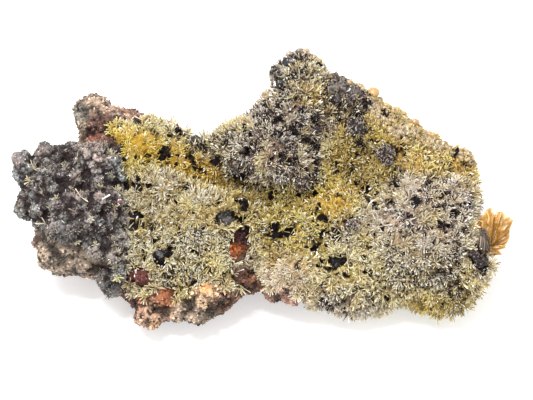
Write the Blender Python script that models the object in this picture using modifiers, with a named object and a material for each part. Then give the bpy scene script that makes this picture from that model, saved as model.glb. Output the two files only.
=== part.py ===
"""Mimetite specimen: a hand-sized piece of gossan rock, overgrown with needle tufts and dark balls.

Lengths are metres, +Z up. The crystal face leans back, so its shapes are laid out in a face
frame: u runs to the right along the face, v up it and w out of it, all in millimetres.
"""
import math
import random

import bmesh
import bpy
import numpy as np
from mathutils import Matrix, Vector, noise
from mathutils.bvhtree import BVHTree

MM = 0.001
FACE_LEAN = math.radians(30)       # how far the face leans back from lying level
FACE_SHIFT = (-0.3, -29.2)        # world x, y in mm of the face frame's own origin
GAP = 0.4                          # clearance between neighbouring solids
SHORTEST_EDGE = 0.02               # edges shorter than this are taken out of the solids
ROOM_VOXEL = 0.5                   # fineness of the swollen copies that cut the neighbours clear
ROOM_SHARE = 0.9                   # triangles of a swollen copy, as a share of its original's
WELD = 1e-6                        # points closer than this, in metres, are one

# The widest girth of the rock is a plane across the face frame: w = GIRTH_W - GIRTH_FALL * v.
GIRTH_W = 5.2
GIRTH_FALL = 0.196
RIM_HALF = 0.8                     # half the height of the blunt rim at the girth
FACE_RISE = 8.5                    # how far the face stands out of the girth
FACE_ROUND = 9.0                   # width of the rounding from the rim up to the face
UNDER_SLOPE = 1.7                  # steepness of the underside below the rim
UNDER_DEPTH = 34.0                 # depth at which the underside levels off, past the flat cut
UNDER_ROLL = 0.9                   # height of the slow waves on the underside
COVER = {"rock": 0.0, "needles": 2.5, "balls": 2.0}   # how far the rock lies inside each cover

NEEDLE_BASE = 1.5                  # mean thickness of the needle crust over the rock
NEEDLE_EDGE = 0.4                  # its thickness right at its border
NEEDLE_TAPER = 2.0                 # width over which it thickens from the border
NEEDLE_INSET = 1.1                 # the crust's base lies this far inside the tips at the skyline
NEEDLE_CELLS = 1000                # triangles of the crust's blank, one tuft on each seen one
NEEDLE_TRIANGLES = 4000            # triangles of the finished crust
NEEDLE_TIPS = (0.4, 2.1)           # how far a tuft's point stands out of the base
NEEDLE_SHAKE = (0.35, 0.5)         # random shift of the tufts' feet, and of their points
NEEDLE_LIP = 2.6                   # how far the crust wraps down behind the rim
CRUST_DEPTH = 3.0                  # how deep the crust's blank reaches into the rock before the cut
CRUST_VOXELS = (1.0, 1.2)          # fineness of the crust's flat plate, and of its blank

# The specimen's outline in u, v, clockwise from the knob, in stretches named for their cover.
OUTLINE = (
    ("rock", ((-45.5, 54.5), (-43.0, 54.8), (-41.8, 56.3), (-40.0, 56.2), (-38.4, 54.7), (-36.0, 53.3),
              (-33.9, 52.7), (-30.5, 52.0), (-28.5, 51.0))),
    ("needles", ((-25.5, 50.2), (-22.5, 50.3), (-20.0, 48.8), (-17.8, 48.2), (-16.0, 46.6), (-14.5, 46.3),
                 (-12.5, 47.4), (-10.0, 48.6), (-8.0, 50.4), (-5.5, 50.0), (-3.2, 51.3), (-2.0, 53.6),
                 (0.0, 54.8), (1.3, 57.6), (1.4, 60.0), (2.4, 62.2), (4.0, 63.5), (5.3, 65.6),
                 (7.0, 67.2), (8.6, 67.8), (10.6, 66.6), (13.4, 65.3), (15.8, 62.6), (17.6, 60.0),
                 (20.5, 59.7), (23.4, 59.2), (25.5, 57.6), (27.4, 57.8), (28.0, 55.8), (30.5, 53.9),
                 (33.4, 52.5), (35.4, 50.6), (38.2, 49.8), (39.5, 46.8), (42.2, 46.8), (44.0, 44.3),
                 (47.6, 43.4), (51.0, 42.4), (52.2, 40.0), (51.2, 36.4), (52.6, 34.0), (52.6, 30.6),
                 (53.2, 27.0), (55.2, 22.0), (55.4, 17.0), (54.4, 12.4), (53.4, 9.2), (51.8, 6.0),
                 (48.6, 3.6), (44.8, 1.8), (41.2, 3.6), (38.0, 2.4), (36.0, 5.0), (31.2, 5.2),
                 (28.0, 3.4), (24.6, 2.2), (20.8, 2.4), (16.6, 3.4), (13.6, 4.9))),
    ("rock", ((9.4, 6.0), (7.4, 5.2), (5.0, 6.2), (1.9, 6.7), (0.6, 9.4), (-1.4, 8.4), (-3.2, 7.4),
              (-5.6, 7.2), (-7.6, 5.0), (-9.6, 4.2), (-11.2, 2.3), (-13.4, 2.2), (-15.2, 2.0),
              (-17.0, 0.5), (-18.9, 1.4), (-22.0, 1.8), (-24.2, 1.4), (-25.5, 0.2), (-28.7, 0.1),
              (-30.8, 1.4), (-31.0, 4.4), (-31.8, 6.4))),
    ("balls", ((-35.6, 6.9), (-38.4, 9.0), (-40.0, 11.2))),
    ("rock", ((-43.5, 11.8), (-48.2, 12.4), (-52.4, 13.8), (-54.4, 16.4), (-54.4, 19.2), (-56.0, 20.3),
              (-54.4, 22.4))),
    ("balls", ((-55.4, 24.8), (-58.8, 26.8), (-60.0, 29.6), (-58.4, 32.4), (-59.0, 35.4), (-59.6, 38.6),
               (-59.8, 41.0), (-56.8, 41.3), (-53.9, 42.0), (-52.8, 44.2), (-49.6, 44.0), (-48.0, 42.8),
               (-46.2, 44.8))),
    ("rock", ((-44.6, 47.4), (-44.9, 50.0), (-44.6, 52.6))),
)

# The needle crust's border across the face, from the outline's last needles round to its first.
NEEDLE_BORDER = ((8.0, 8.6), (2.6, 10.2), (-1.6, 11.8), (-5.4, 9.0), (-9.6, 8.8), (-12.4, 11.2),
                 (-16.6, 10.4), (-19.2, 6.4), (-24.6, 5.4), (-29.4, 6.6), (-31.4, 10.0), (-31.0, 15.0),
                 (-31.4, 20.0), (-30.8, 26.0), (-32.6, 31.0), (-34.0, 35.2), (-32.4, 40.0),
                 (-34.4, 44.0), (-36.6, 46.6), (-33.0, 49.6), (-29.0, 49.0))

ROCK_VOXELS = (1.1, 0.9)           # fineness of the rock's flat plate, and of its skin
ROCK_TRIANGLES = 2400
ROCK_WAVES = (5.5, 0.8)            # length and height of the skin's coarse waves
ROCK_CELLS = (3.2, 0.9)            # width and height of the skin's small lumps
LUMP_SINK = 0.6                    # share of its radius by which a fused lump is set into the rock
FOOT_CUTTER = 0.3                  # side in metres of the cube that trims the foot flat

# Mounds (+) and hollows (-) of the face: centre u, v, half length, half width, turn in degrees, rise.
RELIEF = (
    ("peak_ridge", 5.5, 53.0, 15.0, 7.5, 66, 5.0),
    ("peak_brow", 0.5, 42.8, 10.5, 4.4, -24, 6.5),
    ("long_trough", -5.0, 33.2, 13.0, 3.2, -8, -5.5),
    ("trough_head", -22.0, 37.6, 6.5, 2.4, -24, -3.5),
    ("straw_ridge", -19.0, 30.5, 12.0, 4.5, -25, 2.6),
    ("straw_foot", -14.0, 20.0, 7.0, 7.0, 0, 1.6),
    ("waist", -1.6, 17.5, 2.8, 8.0, 8, -4.5),
    ("yellow_hill", -29.5, 43.4, 7.0, 4.2, -12, 2.2),
    ("gold_dome", 17.7, 29.0, 3.8, 2.8, 0, 1.5),
    ("gold_hollow", 14.0, 36.0, 4.0, 6.5, 12, -2.6),
    ("pale_dome", 21.5, 24.4, 4.2, 4.0, 0, 2.2),
    ("middle_hollow", 26.5, 32.8, 4.5, 5.5, 30, -2.6),
    ("right_mound", 39.4, 22.6, 12.0, 10.0, -10, 4.0),
    ("right_brow", 40.0, 31.6, 10.0, 2.8, 6, 2.0),
    ("right_shelf", 45.0, 38.5, 8.0, 2.4, -12, -1.6),
    ("slope_ridge", 30.0, 45.0, 12.0, 3.6, -32, 1.8),
    ("lower_hollow", 14.4, 17.0, 5.5, 2.6, -16, -2.2),
    ("dark_mass_seat", -46.5, 30.5, 11.0, 9.0, -10, 2.0),
    ("knob", -40.5, 50.6, 3.6, 3.2, 0, 1.5),
)

# Lumps of bare rock fused to the matrix: centre u, v, radius, and how far it stands out of the face.
ROCK_LUMPS = (
    (-42.5, 51.0, 2.0, 0.4), (-39.6, 53.6, 1.8, 0.6), (-36.6, 50.6, 1.7, 0.3),
    (-17.0, 2.4, 2.0, 1.2), (-12.2, 3.4, 1.5, 1.0), (-27.4, 3.0, 2.6, 0.6), (-22.4, 3.6, 1.8, 0.4),
    (-8.0, 6.2, 2.0, 0.5), (-2.0, 10.4, 2.2, 0.6), (-50.0, 17.0, 3.0, 0.4), (-45.0, 14.6, 2.6, 0.3),
    (-54.6, 20.0, 1.3, 0.4), (-12.6, 8.6, 2.6, 0.5), (9.0, 9.0, 2.4, 0.4),
    (-9.9, 25.9, 2.2, 2.6), (-23.7, 17.2, 2.2, 2.4), (17.4, 15.7, 1.9, 2.6), (50.8, 16.7, 2.4, 2.2),
)

# The dark mass: chief balls, then many small ones strewn over its seat.
BALLS = (
    (-57.4, 39.0, 2.2), (-57.4, 35.2, 2.0), (-51.8, 41.6, 2.0), (-48.6, 41.4, 1.9), (-45.4, 42.2, 2.2),
    (-40.6, 40.8, 3.4), (-43.0, 39.2, 2.3), (-36.6, 39.6, 2.6), (-35.0, 36.6, 2.2), (-44.6, 35.8, 2.4),
    (-39.4, 36.4, 2.4), (-51.8, 35.6, 2.6), (-56.8, 30.4, 2.4), (-58.4, 28.2, 1.6), (-53.6, 29.0, 2.4),
    (-49.0, 30.0, 2.7), (-45.2, 31.0, 2.7), (-48.6, 25.2, 2.8), (-46.4, 23.8, 3.0), (-41.4, 25.6, 2.7),
    (-39.4, 24.2, 2.9), (-36.0, 25.4, 2.8), (-34.8, 21.4, 2.6), (-38.4, 30.6, 2.6), (-53.0, 25.4, 1.9),
    (-35.4, 17.6, 2.3), (-40.0, 18.8, 2.0), (-36.0, 10.6, 2.5), (-34.2, 13.6, 2.3), (-38.0, 12.6, 2.0),
    (-35.2, 30.0, 2.2), (-50.6, 38.6, 2.2), (-54.8, 32.4, 2.0), (-42.6, 29.2, 2.2), (-58.4, 37.0, 1.8),
    (-56.0, 37.2, 1.9),
)
BALL_FIELD = ((-59.0, 26.5), (-59.6, 40.6), (-46.0, 43.8), (-36.0, 42.5), (-33.0, 36.0), (-32.5, 24.0),
              (-33.0, 11.0), (-36.5, 9.5), (-38.5, 12.5), (-37.0, 18.0), (-44.0, 21.5), (-52.0, 24.0))
BALL_SEEDS = 190
BALL_VOXEL = 0.55
BALL_TRIANGLES = 2150
BALL_SMALL = (1.0, 1.8)
BALL_LIFT = (0.55, 0.3)            # share of its radius by which a chief or a small ball stands out
BALL_RISE = 0.6                    # and how far it stands out besides: a chief ball,
SMALL_RISE = (0.2, 1.6)            # and a small one
BACKING = ((1.25, -0.6), (1.3, -0.4))   # the larger ball set behind each: its size share and its rise

PEAK_BALLS = ((2.9, 61.2, 1.6), (4.4, 59.8, 1.2), (5.0, 58.0, 1.6), (6.4, 63.0, 1.6), (3.6, 57.6, 1.1))
PEAK_BALL_OUT = 2.6                # height of the peak's balls over the rock
PEAK_BALL_LIFT = 0.2               # share of its radius added to that height
PEAK_VOXEL = 0.4
PEAK_TRIANGLES = 420
DOME_SINK = 0.3                    # share of its radius by which a dome is set in
DOMES = (
    # name, centre u, v, radius, and how far the ball stands out of the rock
    ("dark_dome_saddle", -16.9, 44.3, 1.8, 2.4),
    ("dark_dome_upper", 22.3, 48.4, 2.2, 2.2),
    ("dark_dome_right", 29.5, 41.6, 2.0, 2.4),
    ("dark_dome_brow", 9.0, 35.1, 1.8, 2.2),
    ("dark_dome_lower", 21.5, 24.7, 2.2, 2.0),
    ("dark_dome_slope", 18.2, 57.4, 3.0, 1.0),
)

# The orange fan: each blade's root u, v, its tip u, v, its width and its lean out of the face.
SHEAF_BLADES = (
    (53.4, 18.6, 53.8, 28.6, 3.2, -10), (54.0, 18.4, 55.4, 29.0, 3.0, 7), (54.8, 18.2, 57.6, 28.5, 3.2, -5),
    (55.6, 18.0, 59.4, 27.6, 3.0, 8), (56.4, 18.0, 60.6, 25.7, 3.2, -8), (56.8, 17.8, 60.0, 22.5, 2.8, 6),
    (56.6, 17.6, 58.8, 19.4, 2.4, -4),
)
SHEAF_THICK = 0.7                  # thickness of a blade as a share of its width
SHEAF_OUT = 1.4                    # how far the fan's root lies out of the girth
BLADE_BODY = 0.86                  # a blade's prism as a share of its length; the rest is its point
BLADE_FLARE = (0.34, 0.5)          # its radius at the root and at the point, as shares of its width

MATERIALS = {
    "gossan_rock": ((0.33, 0.22, 0.15), 0.92),
    "dark_oxide": ((0.045, 0.042, 0.050), 0.85),
    "yellow_needles": ((0.52, 0.40, 0.12), 0.45),
    "orange_blades": ((0.72, 0.34, 0.04), 0.35),
}


# ---------------------------------------------------------------- shape of the face

def outline_points(inset):
    """The outline, each point moved inward by the inset of its stretch's cover."""
    points = [(p, inset[cover]) for cover, stretch in OUTLINE for p in stretch]
    places = np.array([p for p, _ in points])
    insets = np.array([i for _, i in points])
    along = np.roll(places, -1, axis=0) - np.roll(places, 1, axis=0)
    along /= np.linalg.norm(along, axis=1, keepdims=True)
    inward = np.stack([along[:, 1], -along[:, 0]], axis=1)
    insets = (np.roll(insets, 1) + 2 * insets + np.roll(insets, -1)) / 4
    return places + inward * insets[:, None]


def distance(u, v, outline):
    """Shortest distance in the face from each point to a closed outline."""
    starts = np.asarray(outline, float)
    spans = np.roll(starts, -1, axis=0) - starts
    offset = np.stack([u, v], axis=-1)[:, None, :] - starts[None, :, :]
    share = np.clip((offset * spans).sum(-1) / (spans ** 2).sum(-1), 0, 1)
    return np.linalg.norm(offset - share[..., None] * spans, axis=-1).min(axis=1)


def inside(u, v, outline):
    """Whether a point lies in a closed outline, by counting the edges it sees to its right."""
    hit = False
    for (u0, v0), (u1, v1) in zip(outline, outline[1:] + outline[:1]):
        if (v0 > v) != (v1 > v) and u < u0 + (v - v0) * (u1 - u0) / (v1 - v0):
            hit = not hit
    return hit


def girth(v):
    """Height w of the girth plane."""
    return GIRTH_W - GIRTH_FALL * v


def relief(u, v):
    """Rise of the face over the girth: a level field, the named mounds, and a slow roll."""
    rise = np.full_like(u, FACE_RISE)
    for _, cu, cv, half_length, half_width, turn, height in RELIEF:
        c, s = math.cos(math.radians(turn)), math.sin(math.radians(turn))
        along = ((u - cu) * c + (v - cv) * s) / half_length
        across = ((v - cv) * c - (u - cu) * s) / half_width
        rise += height * np.exp(-(along ** 2 + across ** 2) ** 1.3)
    rise += 0.45 * np.sin(0.42 * u + 1.1 * np.sin(0.31 * v)) + 0.35 * np.sin(0.55 * v - 0.23 * u + 1.7)
    return rise


def rounded(share):
    """Quarter-circle rise from 0 at the rim to 1 at the end of the rounding."""
    return np.sqrt(1 - (1 - np.clip(share, 0, 1)) ** 2)


def face_height(u, v, edge):
    """Height w of the bare rock's face; edge is the distance inward from its own rim."""
    return girth(v) + RIM_HALF + (relief(u, v) - RIM_HALF) * rounded(edge / FACE_ROUND)


def rock_under(u, v, edge):
    """Height w of the rock's underside, a rough slope that falls away from the rim."""
    rough = UNDER_ROLL * np.sin(0.5 * u + 0.8 * np.sin(0.4 * v)) * np.clip(edge / 4, 0, 1)
    return girth(v) - RIM_HALF - np.minimum(UNDER_SLOPE * edge, UNDER_DEPTH) + rough


def to_world(u, v, w):
    """Face frame in mm to world metres."""
    x = u + FACE_SHIFT[0]
    y = v * math.cos(FACE_LEAN) - w * math.sin(FACE_LEAN) + FACE_SHIFT[1]
    z = v * math.sin(FACE_LEAN) + w * math.cos(FACE_LEAN)
    return np.stack([x, y, z], axis=-1) * MM


# ---------------------------------------------------------------- modelling helpers

def collection(name):
    """A new collection linked to the scene."""
    made = bpy.data.collections.new(name)
    bpy.context.scene.collection.children.link(made)
    return made


def keep_mesh(obj, name, where):
    """Replace an object by a plain welded mesh of its modifiers' or its curve's result."""
    mesh = bpy.data.meshes.new_from_object(obj.evaluated_get(bpy.context.evaluated_depsgraph_get()))
    bm = bmesh.new()
    bm.from_mesh(mesh)
    bmesh.ops.remove_doubles(bm, verts=bm.verts, dist=WELD)
    bm.to_mesh(mesh)
    bm.free()
    mesh.materials.clear()
    place = obj.matrix_world.copy()
    bpy.data.objects.remove(obj, do_unlink=True)
    made = bpy.data.objects.new(name, mesh)
    made.matrix_world = place
    where.objects.link(made)
    return made


def remesh(obj, voxel, name, where):
    """Voxel-remesh an object into one closed skin."""
    tool = obj.modifiers.new("skin", "REMESH")
    tool.mode = "VOXEL"
    tool.voxel_size = voxel * MM
    bpy.context.view_layer.update()
    return keep_mesh(obj, name, where)


def thin_out(obj, triangles, where):
    """Decimate an object to about this many triangles."""
    count = sum(len(p.vertices) - 2 for p in obj.data.polygons)
    tool = obj.modifiers.new("thin", "DECIMATE")
    tool.ratio = min(1.0, triangles / count)
    tool.use_collapse_triangulate = True
    bpy.context.view_layer.update()
    return keep_mesh(obj, obj.name, where)


def plate(outline, name, where, thick=10.0):
    """A flat closed plate, thick mm high, with the given outline in mm."""
    curve = bpy.data.curves.new(name, "CURVE")
    curve.dimensions = "2D"
    curve.fill_mode = "BOTH"
    curve.extrude = thick / 2 * MM
    spline = curve.splines.new("POLY")
    spline.points.add(len(outline) - 1)
    for point, (u, v) in zip(spline.points, outline):
        point.co = (u * MM, v * MM, 0, 1)
    spline.use_cyclic_u = True
    obj = bpy.data.objects.new(name, curve)
    where.objects.link(obj)
    bpy.context.view_layer.update()
    return keep_mesh(obj, name, where)


def shape_plate(obj, outline, top, under, thick=10.0):
    """Lift a plate's upper side to top(u, v, edge) and its lower side to under(u, v, edge)."""
    flat = np.empty(len(obj.data.vertices) * 3)
    obj.data.vertices.foreach_get("co", flat)
    flat = flat.reshape(-1, 3) / MM
    u, v = flat[:, 0], flat[:, 1]
    edge = distance(u, v, outline)
    share = np.clip(flat[:, 2] / (thick / 2), -1, 1) / 2 + 0.5
    w = under(u, v, edge) * (1 - share) + top(u, v, edge) * share
    obj.data.vertices.foreach_set("co", to_world(u, v, w).ravel())
    obj.data.update()


def ball_cluster(balls, name, where, level=2):
    """One object of many balls, each given as its centre in metres and its radius in mm."""
    bm = bmesh.new()
    for centre, radius in balls:
        bmesh.ops.create_icosphere(bm, subdivisions=level, radius=radius * MM,
                                   matrix=Matrix.Translation(centre))
    mesh = bpy.data.meshes.new(name)
    bm.to_mesh(mesh)
    bm.free()
    obj = bpy.data.objects.new(name, mesh)
    where.objects.link(obj)
    return obj


def on_face(u, v, edge_outline, out):
    """World place of a point standing `out` mm out of the rock's face."""
    u, v = np.array([float(u)]), np.array([float(v)])
    w = face_height(u, v, distance(u, v, edge_outline)) + out
    return Vector(to_world(u, v, w)[0])


def wrap(obj):
    """Replace an object's mesh by its convex hull."""
    bm = bmesh.new()
    bm.from_mesh(obj.data)
    hull = bmesh.ops.convex_hull(bm, input=bm.verts)
    spare = [g for g in hull["geom_interior"] + hull["geom_unused"] if isinstance(g, bmesh.types.BMVert)]
    bmesh.ops.delete(bm, geom=spare, context="VERTS")
    skin = {g for g in hull["geom"] if isinstance(g, bmesh.types.BMFace)}
    bmesh.ops.delete(bm, geom=[f for f in bm.faces if f not in skin], context="FACES_ONLY")
    bmesh.ops.recalc_face_normals(bm, faces=bm.faces)
    bm.to_mesh(obj.data)
    bm.free()


def swollen(obj, amount, where, hull):
    """A copy of an object grown outward by amount mm, to cut its neighbours clear of it."""
    room = bpy.data.objects.new(obj.name + "_room", obj.data.copy())
    where.objects.link(room)
    bm = bmesh.new()
    bm.from_mesh(room.data)
    bm.normal_update()
    for vert, move in [(vert, vert.normal * amount * MM) for vert in bm.verts]:
        vert.co += move
    bm.to_mesh(room.data)
    bm.free()
    if hull:
        wrap(room)
        return room
    triangles = len(room.data.polygons)
    return thin_out(remesh(room, ROOM_VOXEL, room.name, where), triangles * ROOM_SHARE, where)


def boolean(obj, tool_obj, kind, solver="EXACT"):
    """Apply one Boolean of the given kind to an object's mesh."""
    tool = obj.modifiers.new(kind.lower(), "BOOLEAN")
    tool.operation = kind
    tool.solver = solver
    tool.object = tool_obj
    bpy.context.view_layer.update()
    worked = bpy.data.meshes.new_from_object(obj.evaluated_get(bpy.context.evaluated_depsgraph_get()))
    obj.modifiers.clear()
    obj.data = worked


def largest_island(obj):
    """Keep only the body with the most vertices, as triangles with no needless short edges."""
    bm = bmesh.new()
    bm.from_mesh(obj.data)
    bmesh.ops.triangulate(bm, faces=bm.faces)
    bmesh.ops.dissolve_degenerate(bm, edges=bm.edges, dist=SHORTEST_EDGE * MM)
    bmesh.ops.triangulate(bm, faces=bm.faces)
    left = set(bm.verts)
    islands = []
    while left:
        front = [left.pop()]
        island = set(front)
        while front:
            here = front.pop()
            fresh = [e.other_vert(here) for e in here.link_edges if e.other_vert(here) not in island]
            island.update(fresh)
            front.extend(fresh)
        left -= island
        islands.append(island)
    keep = max(islands, key=len)
    bmesh.ops.delete(bm, geom=[v for v in bm.verts if v not in keep], context="VERTS")
    bmesh.ops.recalc_face_normals(bm, faces=bm.faces)
    bm.to_mesh(obj.data)
    bm.free()


def cut_clear(obj, neighbours, cutters, small=(), solver="EXACT"):
    """Cut an object clear of its neighbours, with the gap, and keep the main body."""
    for neighbour in (*neighbours, *small):
        room = swollen(neighbour, GAP, cutters, neighbour in small)
        boolean(obj, room, "DIFFERENCE", solver)
        bpy.data.objects.remove(room, do_unlink=True)
    largest_island(obj)


def give_material(obj, slot):
    """Put the named material on an object."""
    if slot not in bpy.data.materials:
        colour, roughness = MATERIALS[slot]
        made = bpy.data.materials.new(slot)
        made.use_nodes = True
        shader = made.node_tree.nodes["Principled BSDF"]
        shader.inputs["Base Color"].default_value = (*colour, 1)
        shader.inputs["Roughness"].default_value = roughness
        shader.inputs["Metallic"].default_value = 0.0
        made.diffuse_color = (*colour, 1)
    obj.data.materials.clear()
    obj.data.materials.append(bpy.data.materials[slot])


def roughen(obj):
    """Break an even skin up into the lumps and hollows of coarse rock."""
    bm = bmesh.new()
    bm.from_mesh(obj.data)
    bm.normal_update()
    moves = []
    for vert in bm.verts:
        wave = noise.noise(vert.co / (ROCK_WAVES[0] * MM)) * ROCK_WAVES[1]
        cell = (0.5 - noise.voronoi(vert.co / (ROCK_CELLS[0] * MM))[0][0]) * ROCK_CELLS[1]
        moves.append(vert.normal * (wave + cell) * MM)
    for vert, move in zip(bm.verts, moves):
        vert.co += move
    bm.to_mesh(obj.data)
    bm.free()


# ---------------------------------------------------------------- the pieces

def make_matrix(parts, cutters, rim):
    """The rock: a plate of its outline, lifted to the face, with lumps fused on and a flat foot."""
    flat = remesh(plate(rim, "matrix_plate", cutters), ROCK_VOXELS[0], "matrix_plate", cutters)
    shape_plate(flat, rim, face_height, rock_under)
    lumps = ball_cluster([(on_face(u, v, rim, out - r * LUMP_SINK), r) for u, v, r, out in ROCK_LUMPS],
                         "matrix_lumps", cutters)
    joined = bmesh.new()
    joined.from_mesh(flat.data)
    joined.from_mesh(lumps.data)
    joined.to_mesh(flat.data)
    joined.free()
    bpy.data.objects.remove(lumps, do_unlink=True)
    matrix = remesh(flat, ROCK_VOXELS[1], "matrix", parts)
    roughen(matrix)
    matrix = thin_out(matrix, ROCK_TRIANGLES, parts)
    bpy.ops.mesh.primitive_cube_add(size=FOOT_CUTTER, location=(0, 0, -FOOT_CUTTER / 2))
    below = bpy.context.active_object
    boolean(matrix, below, "DIFFERENCE")
    bpy.data.objects.remove(below, do_unlink=True)
    largest_island(matrix)
    give_material(matrix, "gossan_rock")
    return matrix


def make_dark_mass(parts, cutters, rim, matrix):
    """The botryoidal mass: chief balls and a strewing of small ones, grown into one skin."""
    dice = random.Random(11)
    (chief_size, chief_back), (small_size, small_back) = BACKING
    balls = [(on_face(u, v, rim, r * BALL_LIFT[0] + BALL_RISE), r) for u, v, r in BALLS]
    balls += [(on_face(u, v, rim, chief_back), r * chief_size) for u, v, r in BALLS]
    us = [p[0] for p in BALL_FIELD]
    vs = [p[1] for p in BALL_FIELD]
    for _ in range(BALL_SEEDS):
        u, v = dice.uniform(min(us), max(us)), dice.uniform(min(vs), max(vs))
        radius = dice.uniform(*BALL_SMALL)
        if inside(u, v, list(BALL_FIELD)):
            rise = radius * BALL_LIFT[1] + dice.uniform(*SMALL_RISE)
            balls.append((on_face(u, v, rim, rise), radius))
            balls.append((on_face(u, v, rim, small_back), radius * small_size))
    mass = remesh(ball_cluster(balls, "dark_balls", cutters), BALL_VOXEL, "botryoidal_mass", parts)
    mass = thin_out(mass, BALL_TRIANGLES, parts)
    cut_clear(mass, [matrix], cutters)
    give_material(mass, "dark_oxide")
    return mass


def make_dark_balls(parts, cutters, rim, neighbours):
    """The cluster of balls on the peak, and the single domes among the needles."""
    cluster = [(on_face(u, v, rim, r * PEAK_BALL_LIFT + PEAK_BALL_OUT), r) for u, v, r in PEAK_BALLS]
    peak = remesh(ball_cluster(cluster, "peak_balls", cutters), PEAK_VOXEL, "peak_botryoids", parts)
    peak = thin_out(peak, PEAK_TRIANGLES, parts)
    cut_clear(peak, neighbours, cutters)
    made = [peak]
    for name, u, v, radius, out in DOMES:
        dome = ball_cluster([(on_face(u, v, rim, out - radius * DOME_SINK), radius)], name, parts)
        cut_clear(dome, neighbours, cutters)
        made.append(dome)
    for obj in made:
        give_material(obj, "dark_oxide")
    return made


def make_sheaf(parts, cutters, neighbours):
    """The orange fan: six-sided blades that widen upward from their roots, fused together."""
    face_turn = Matrix.Rotation(FACE_LEAN, 4, "X")
    blades = []
    for root_u, root_v, tip_u, tip_v, width, lean in SHEAF_BLADES:
        root = Vector(to_world(root_u, root_v, girth(root_v) + SHEAF_OUT))
        turn = math.atan2(tip_v - root_v, tip_u - root_u)
        length = math.hypot(tip_u - root_u, tip_v - root_v)
        body = length * BLADE_BODY
        bm = bmesh.new()
        bmesh.ops.create_cone(bm, cap_ends=True, segments=6, radius1=width * BLADE_FLARE[0] * MM,
                              radius2=width * BLADE_FLARE[1] * MM, depth=body * MM,
                              matrix=Matrix.Translation((0, 0, body / 2 * MM)))
        top = [face for face in bm.faces if min(vert.co.z for vert in face.verts) > body / 2 * MM]
        bmesh.ops.poke(bm, faces=top, offset=(length - body) * MM)
        spread = Matrix.Diagonal((1.0, SHEAF_THICK, 1.0, 1.0))
        stand = Matrix.Rotation(math.radians(lean - 90), 4, "X")
        aim = Matrix.Rotation(turn - math.pi / 2, 4, "Z")
        bmesh.ops.transform(bm, verts=bm.verts,
                            matrix=Matrix.Translation(root) @ face_turn @ aim @ stand @ spread)
        mesh = bpy.data.meshes.new("blade")
        bm.to_mesh(mesh)
        bm.free()
        blade = bpy.data.objects.new("blade", mesh)
        cutters.objects.link(blade)
        blades.append(blade)
    sheaf = blades[0]
    for blade in blades[1:]:
        boolean(sheaf, blade, "UNION")
        bpy.data.objects.remove(blade, do_unlink=True)
    sheaf = keep_mesh(sheaf, "orange_sheaf", parts)
    cut_clear(sheaf, neighbours, cutters)
    give_material(sheaf, "orange_blades")
    return sheaf


def make_crust(parts, cutters, neighbours, small):
    """The druse: a skin over the rock whose every cell is drawn out to the point of a tuft."""
    skyline = outline_points({"rock": 0.0, "needles": NEEDLE_INSET, "balls": 0.0})
    first = len(OUTLINE[0][1])
    needles = skyline[first:first + len(OUTLINE[1][1])]
    border = np.concatenate([needles, np.array(NEEDLE_BORDER)])

    def crust_top(u, v, edge):
        sky = distance(u, v, skyline)
        thick = NEEDLE_EDGE + (NEEDLE_BASE - NEEDLE_EDGE) * rounded(edge / NEEDLE_TAPER)
        return girth(v) + relief(u, v) * rounded((sky + 0.6) / FACE_ROUND) + thick

    def crust_under(u, v, edge):
        sky = distance(u, v, skyline)
        deep = relief(u, v) * rounded((sky - 1.5) / FACE_ROUND) - CRUST_DEPTH
        return girth(v) + np.minimum(deep, -NEEDLE_LIP * rounded(edge / NEEDLE_TAPER) - RIM_HALF)

    blank = remesh(plate(border, "crust_plate", cutters), CRUST_VOXELS[0], "crust_plate", cutters)
    shape_plate(blank, border, crust_top, crust_under)
    crust = remesh(blank, CRUST_VOXELS[1], "mimetite_crust", parts)
    crust = thin_out(crust, NEEDLE_CELLS, parts)
    dice = random.Random(5)
    bm = bmesh.new()
    bm.from_mesh(crust.data)
    for vert in bm.verts:
        shake = Vector([dice.uniform(-1, 1) for _ in range(3)]) * NEEDLE_SHAKE[0] * MM
        vert.co += shake - vert.normal * shake.dot(vert.normal) * 0.5
    rock = BVHTree.FromObject(neighbours[0], bpy.context.evaluated_depsgraph_get())
    for face in list(bm.faces):
        centre = face.calc_center_median()
        place, normal, _, _ = rock.find_nearest(centre)
        if (centre - place).dot(normal) > GAP * MM:
            tuft = bmesh.ops.poke(bm, faces=[face], offset=dice.uniform(*NEEDLE_TIPS) * MM)
            tuft["verts"][0].co += Vector([dice.uniform(-1, 1) for _ in range(3)]) * NEEDLE_SHAKE[1] * MM
    bm.to_mesh(crust.data)
    bm.free()
    cut_clear(crust, neighbours, cutters, small, "MANIFOLD")
    crust = thin_out(crust, NEEDLE_TRIANGLES, parts)
    largest_island(crust)
    give_material(crust, "yellow_needles")
    return crust


def build():
    """Clear the scene, then model every piece; each is cut clear of those made before it."""
    for obj in list(bpy.data.objects):
        bpy.data.objects.remove(obj, do_unlink=True)
    parts = collection("mimetite_specimen")
    cutters = collection("cutters")
    rim = outline_points(COVER)
    matrix = make_matrix(parts, cutters, rim)
    mass = make_dark_mass(parts, cutters, rim, matrix)
    dark = make_dark_balls(parts, cutters, rim, [matrix])
    sheaf = make_sheaf(parts, cutters, [matrix])
    crust = make_crust(parts, cutters, [matrix, mass], [sheaf, *dark])
    for obj in (matrix, mass, *dark, sheaf, crust):
        print(obj.name, len(obj.data.polygons), "triangles")


build()
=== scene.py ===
# %% [markdown]
# # Mimetite specimen
#
# The real object is a hand-sized piece of brown gossan rock. Its face is overgrown with tufts of
# straw-yellow needles, its left end with grape-like balls of dark oxide, and an orange fan of
# crystals stands at its right end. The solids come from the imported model. This script dresses
# them: it keeps their places and sizes and adds the fine shapes and finishes.

# %% The frame
import math

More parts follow.
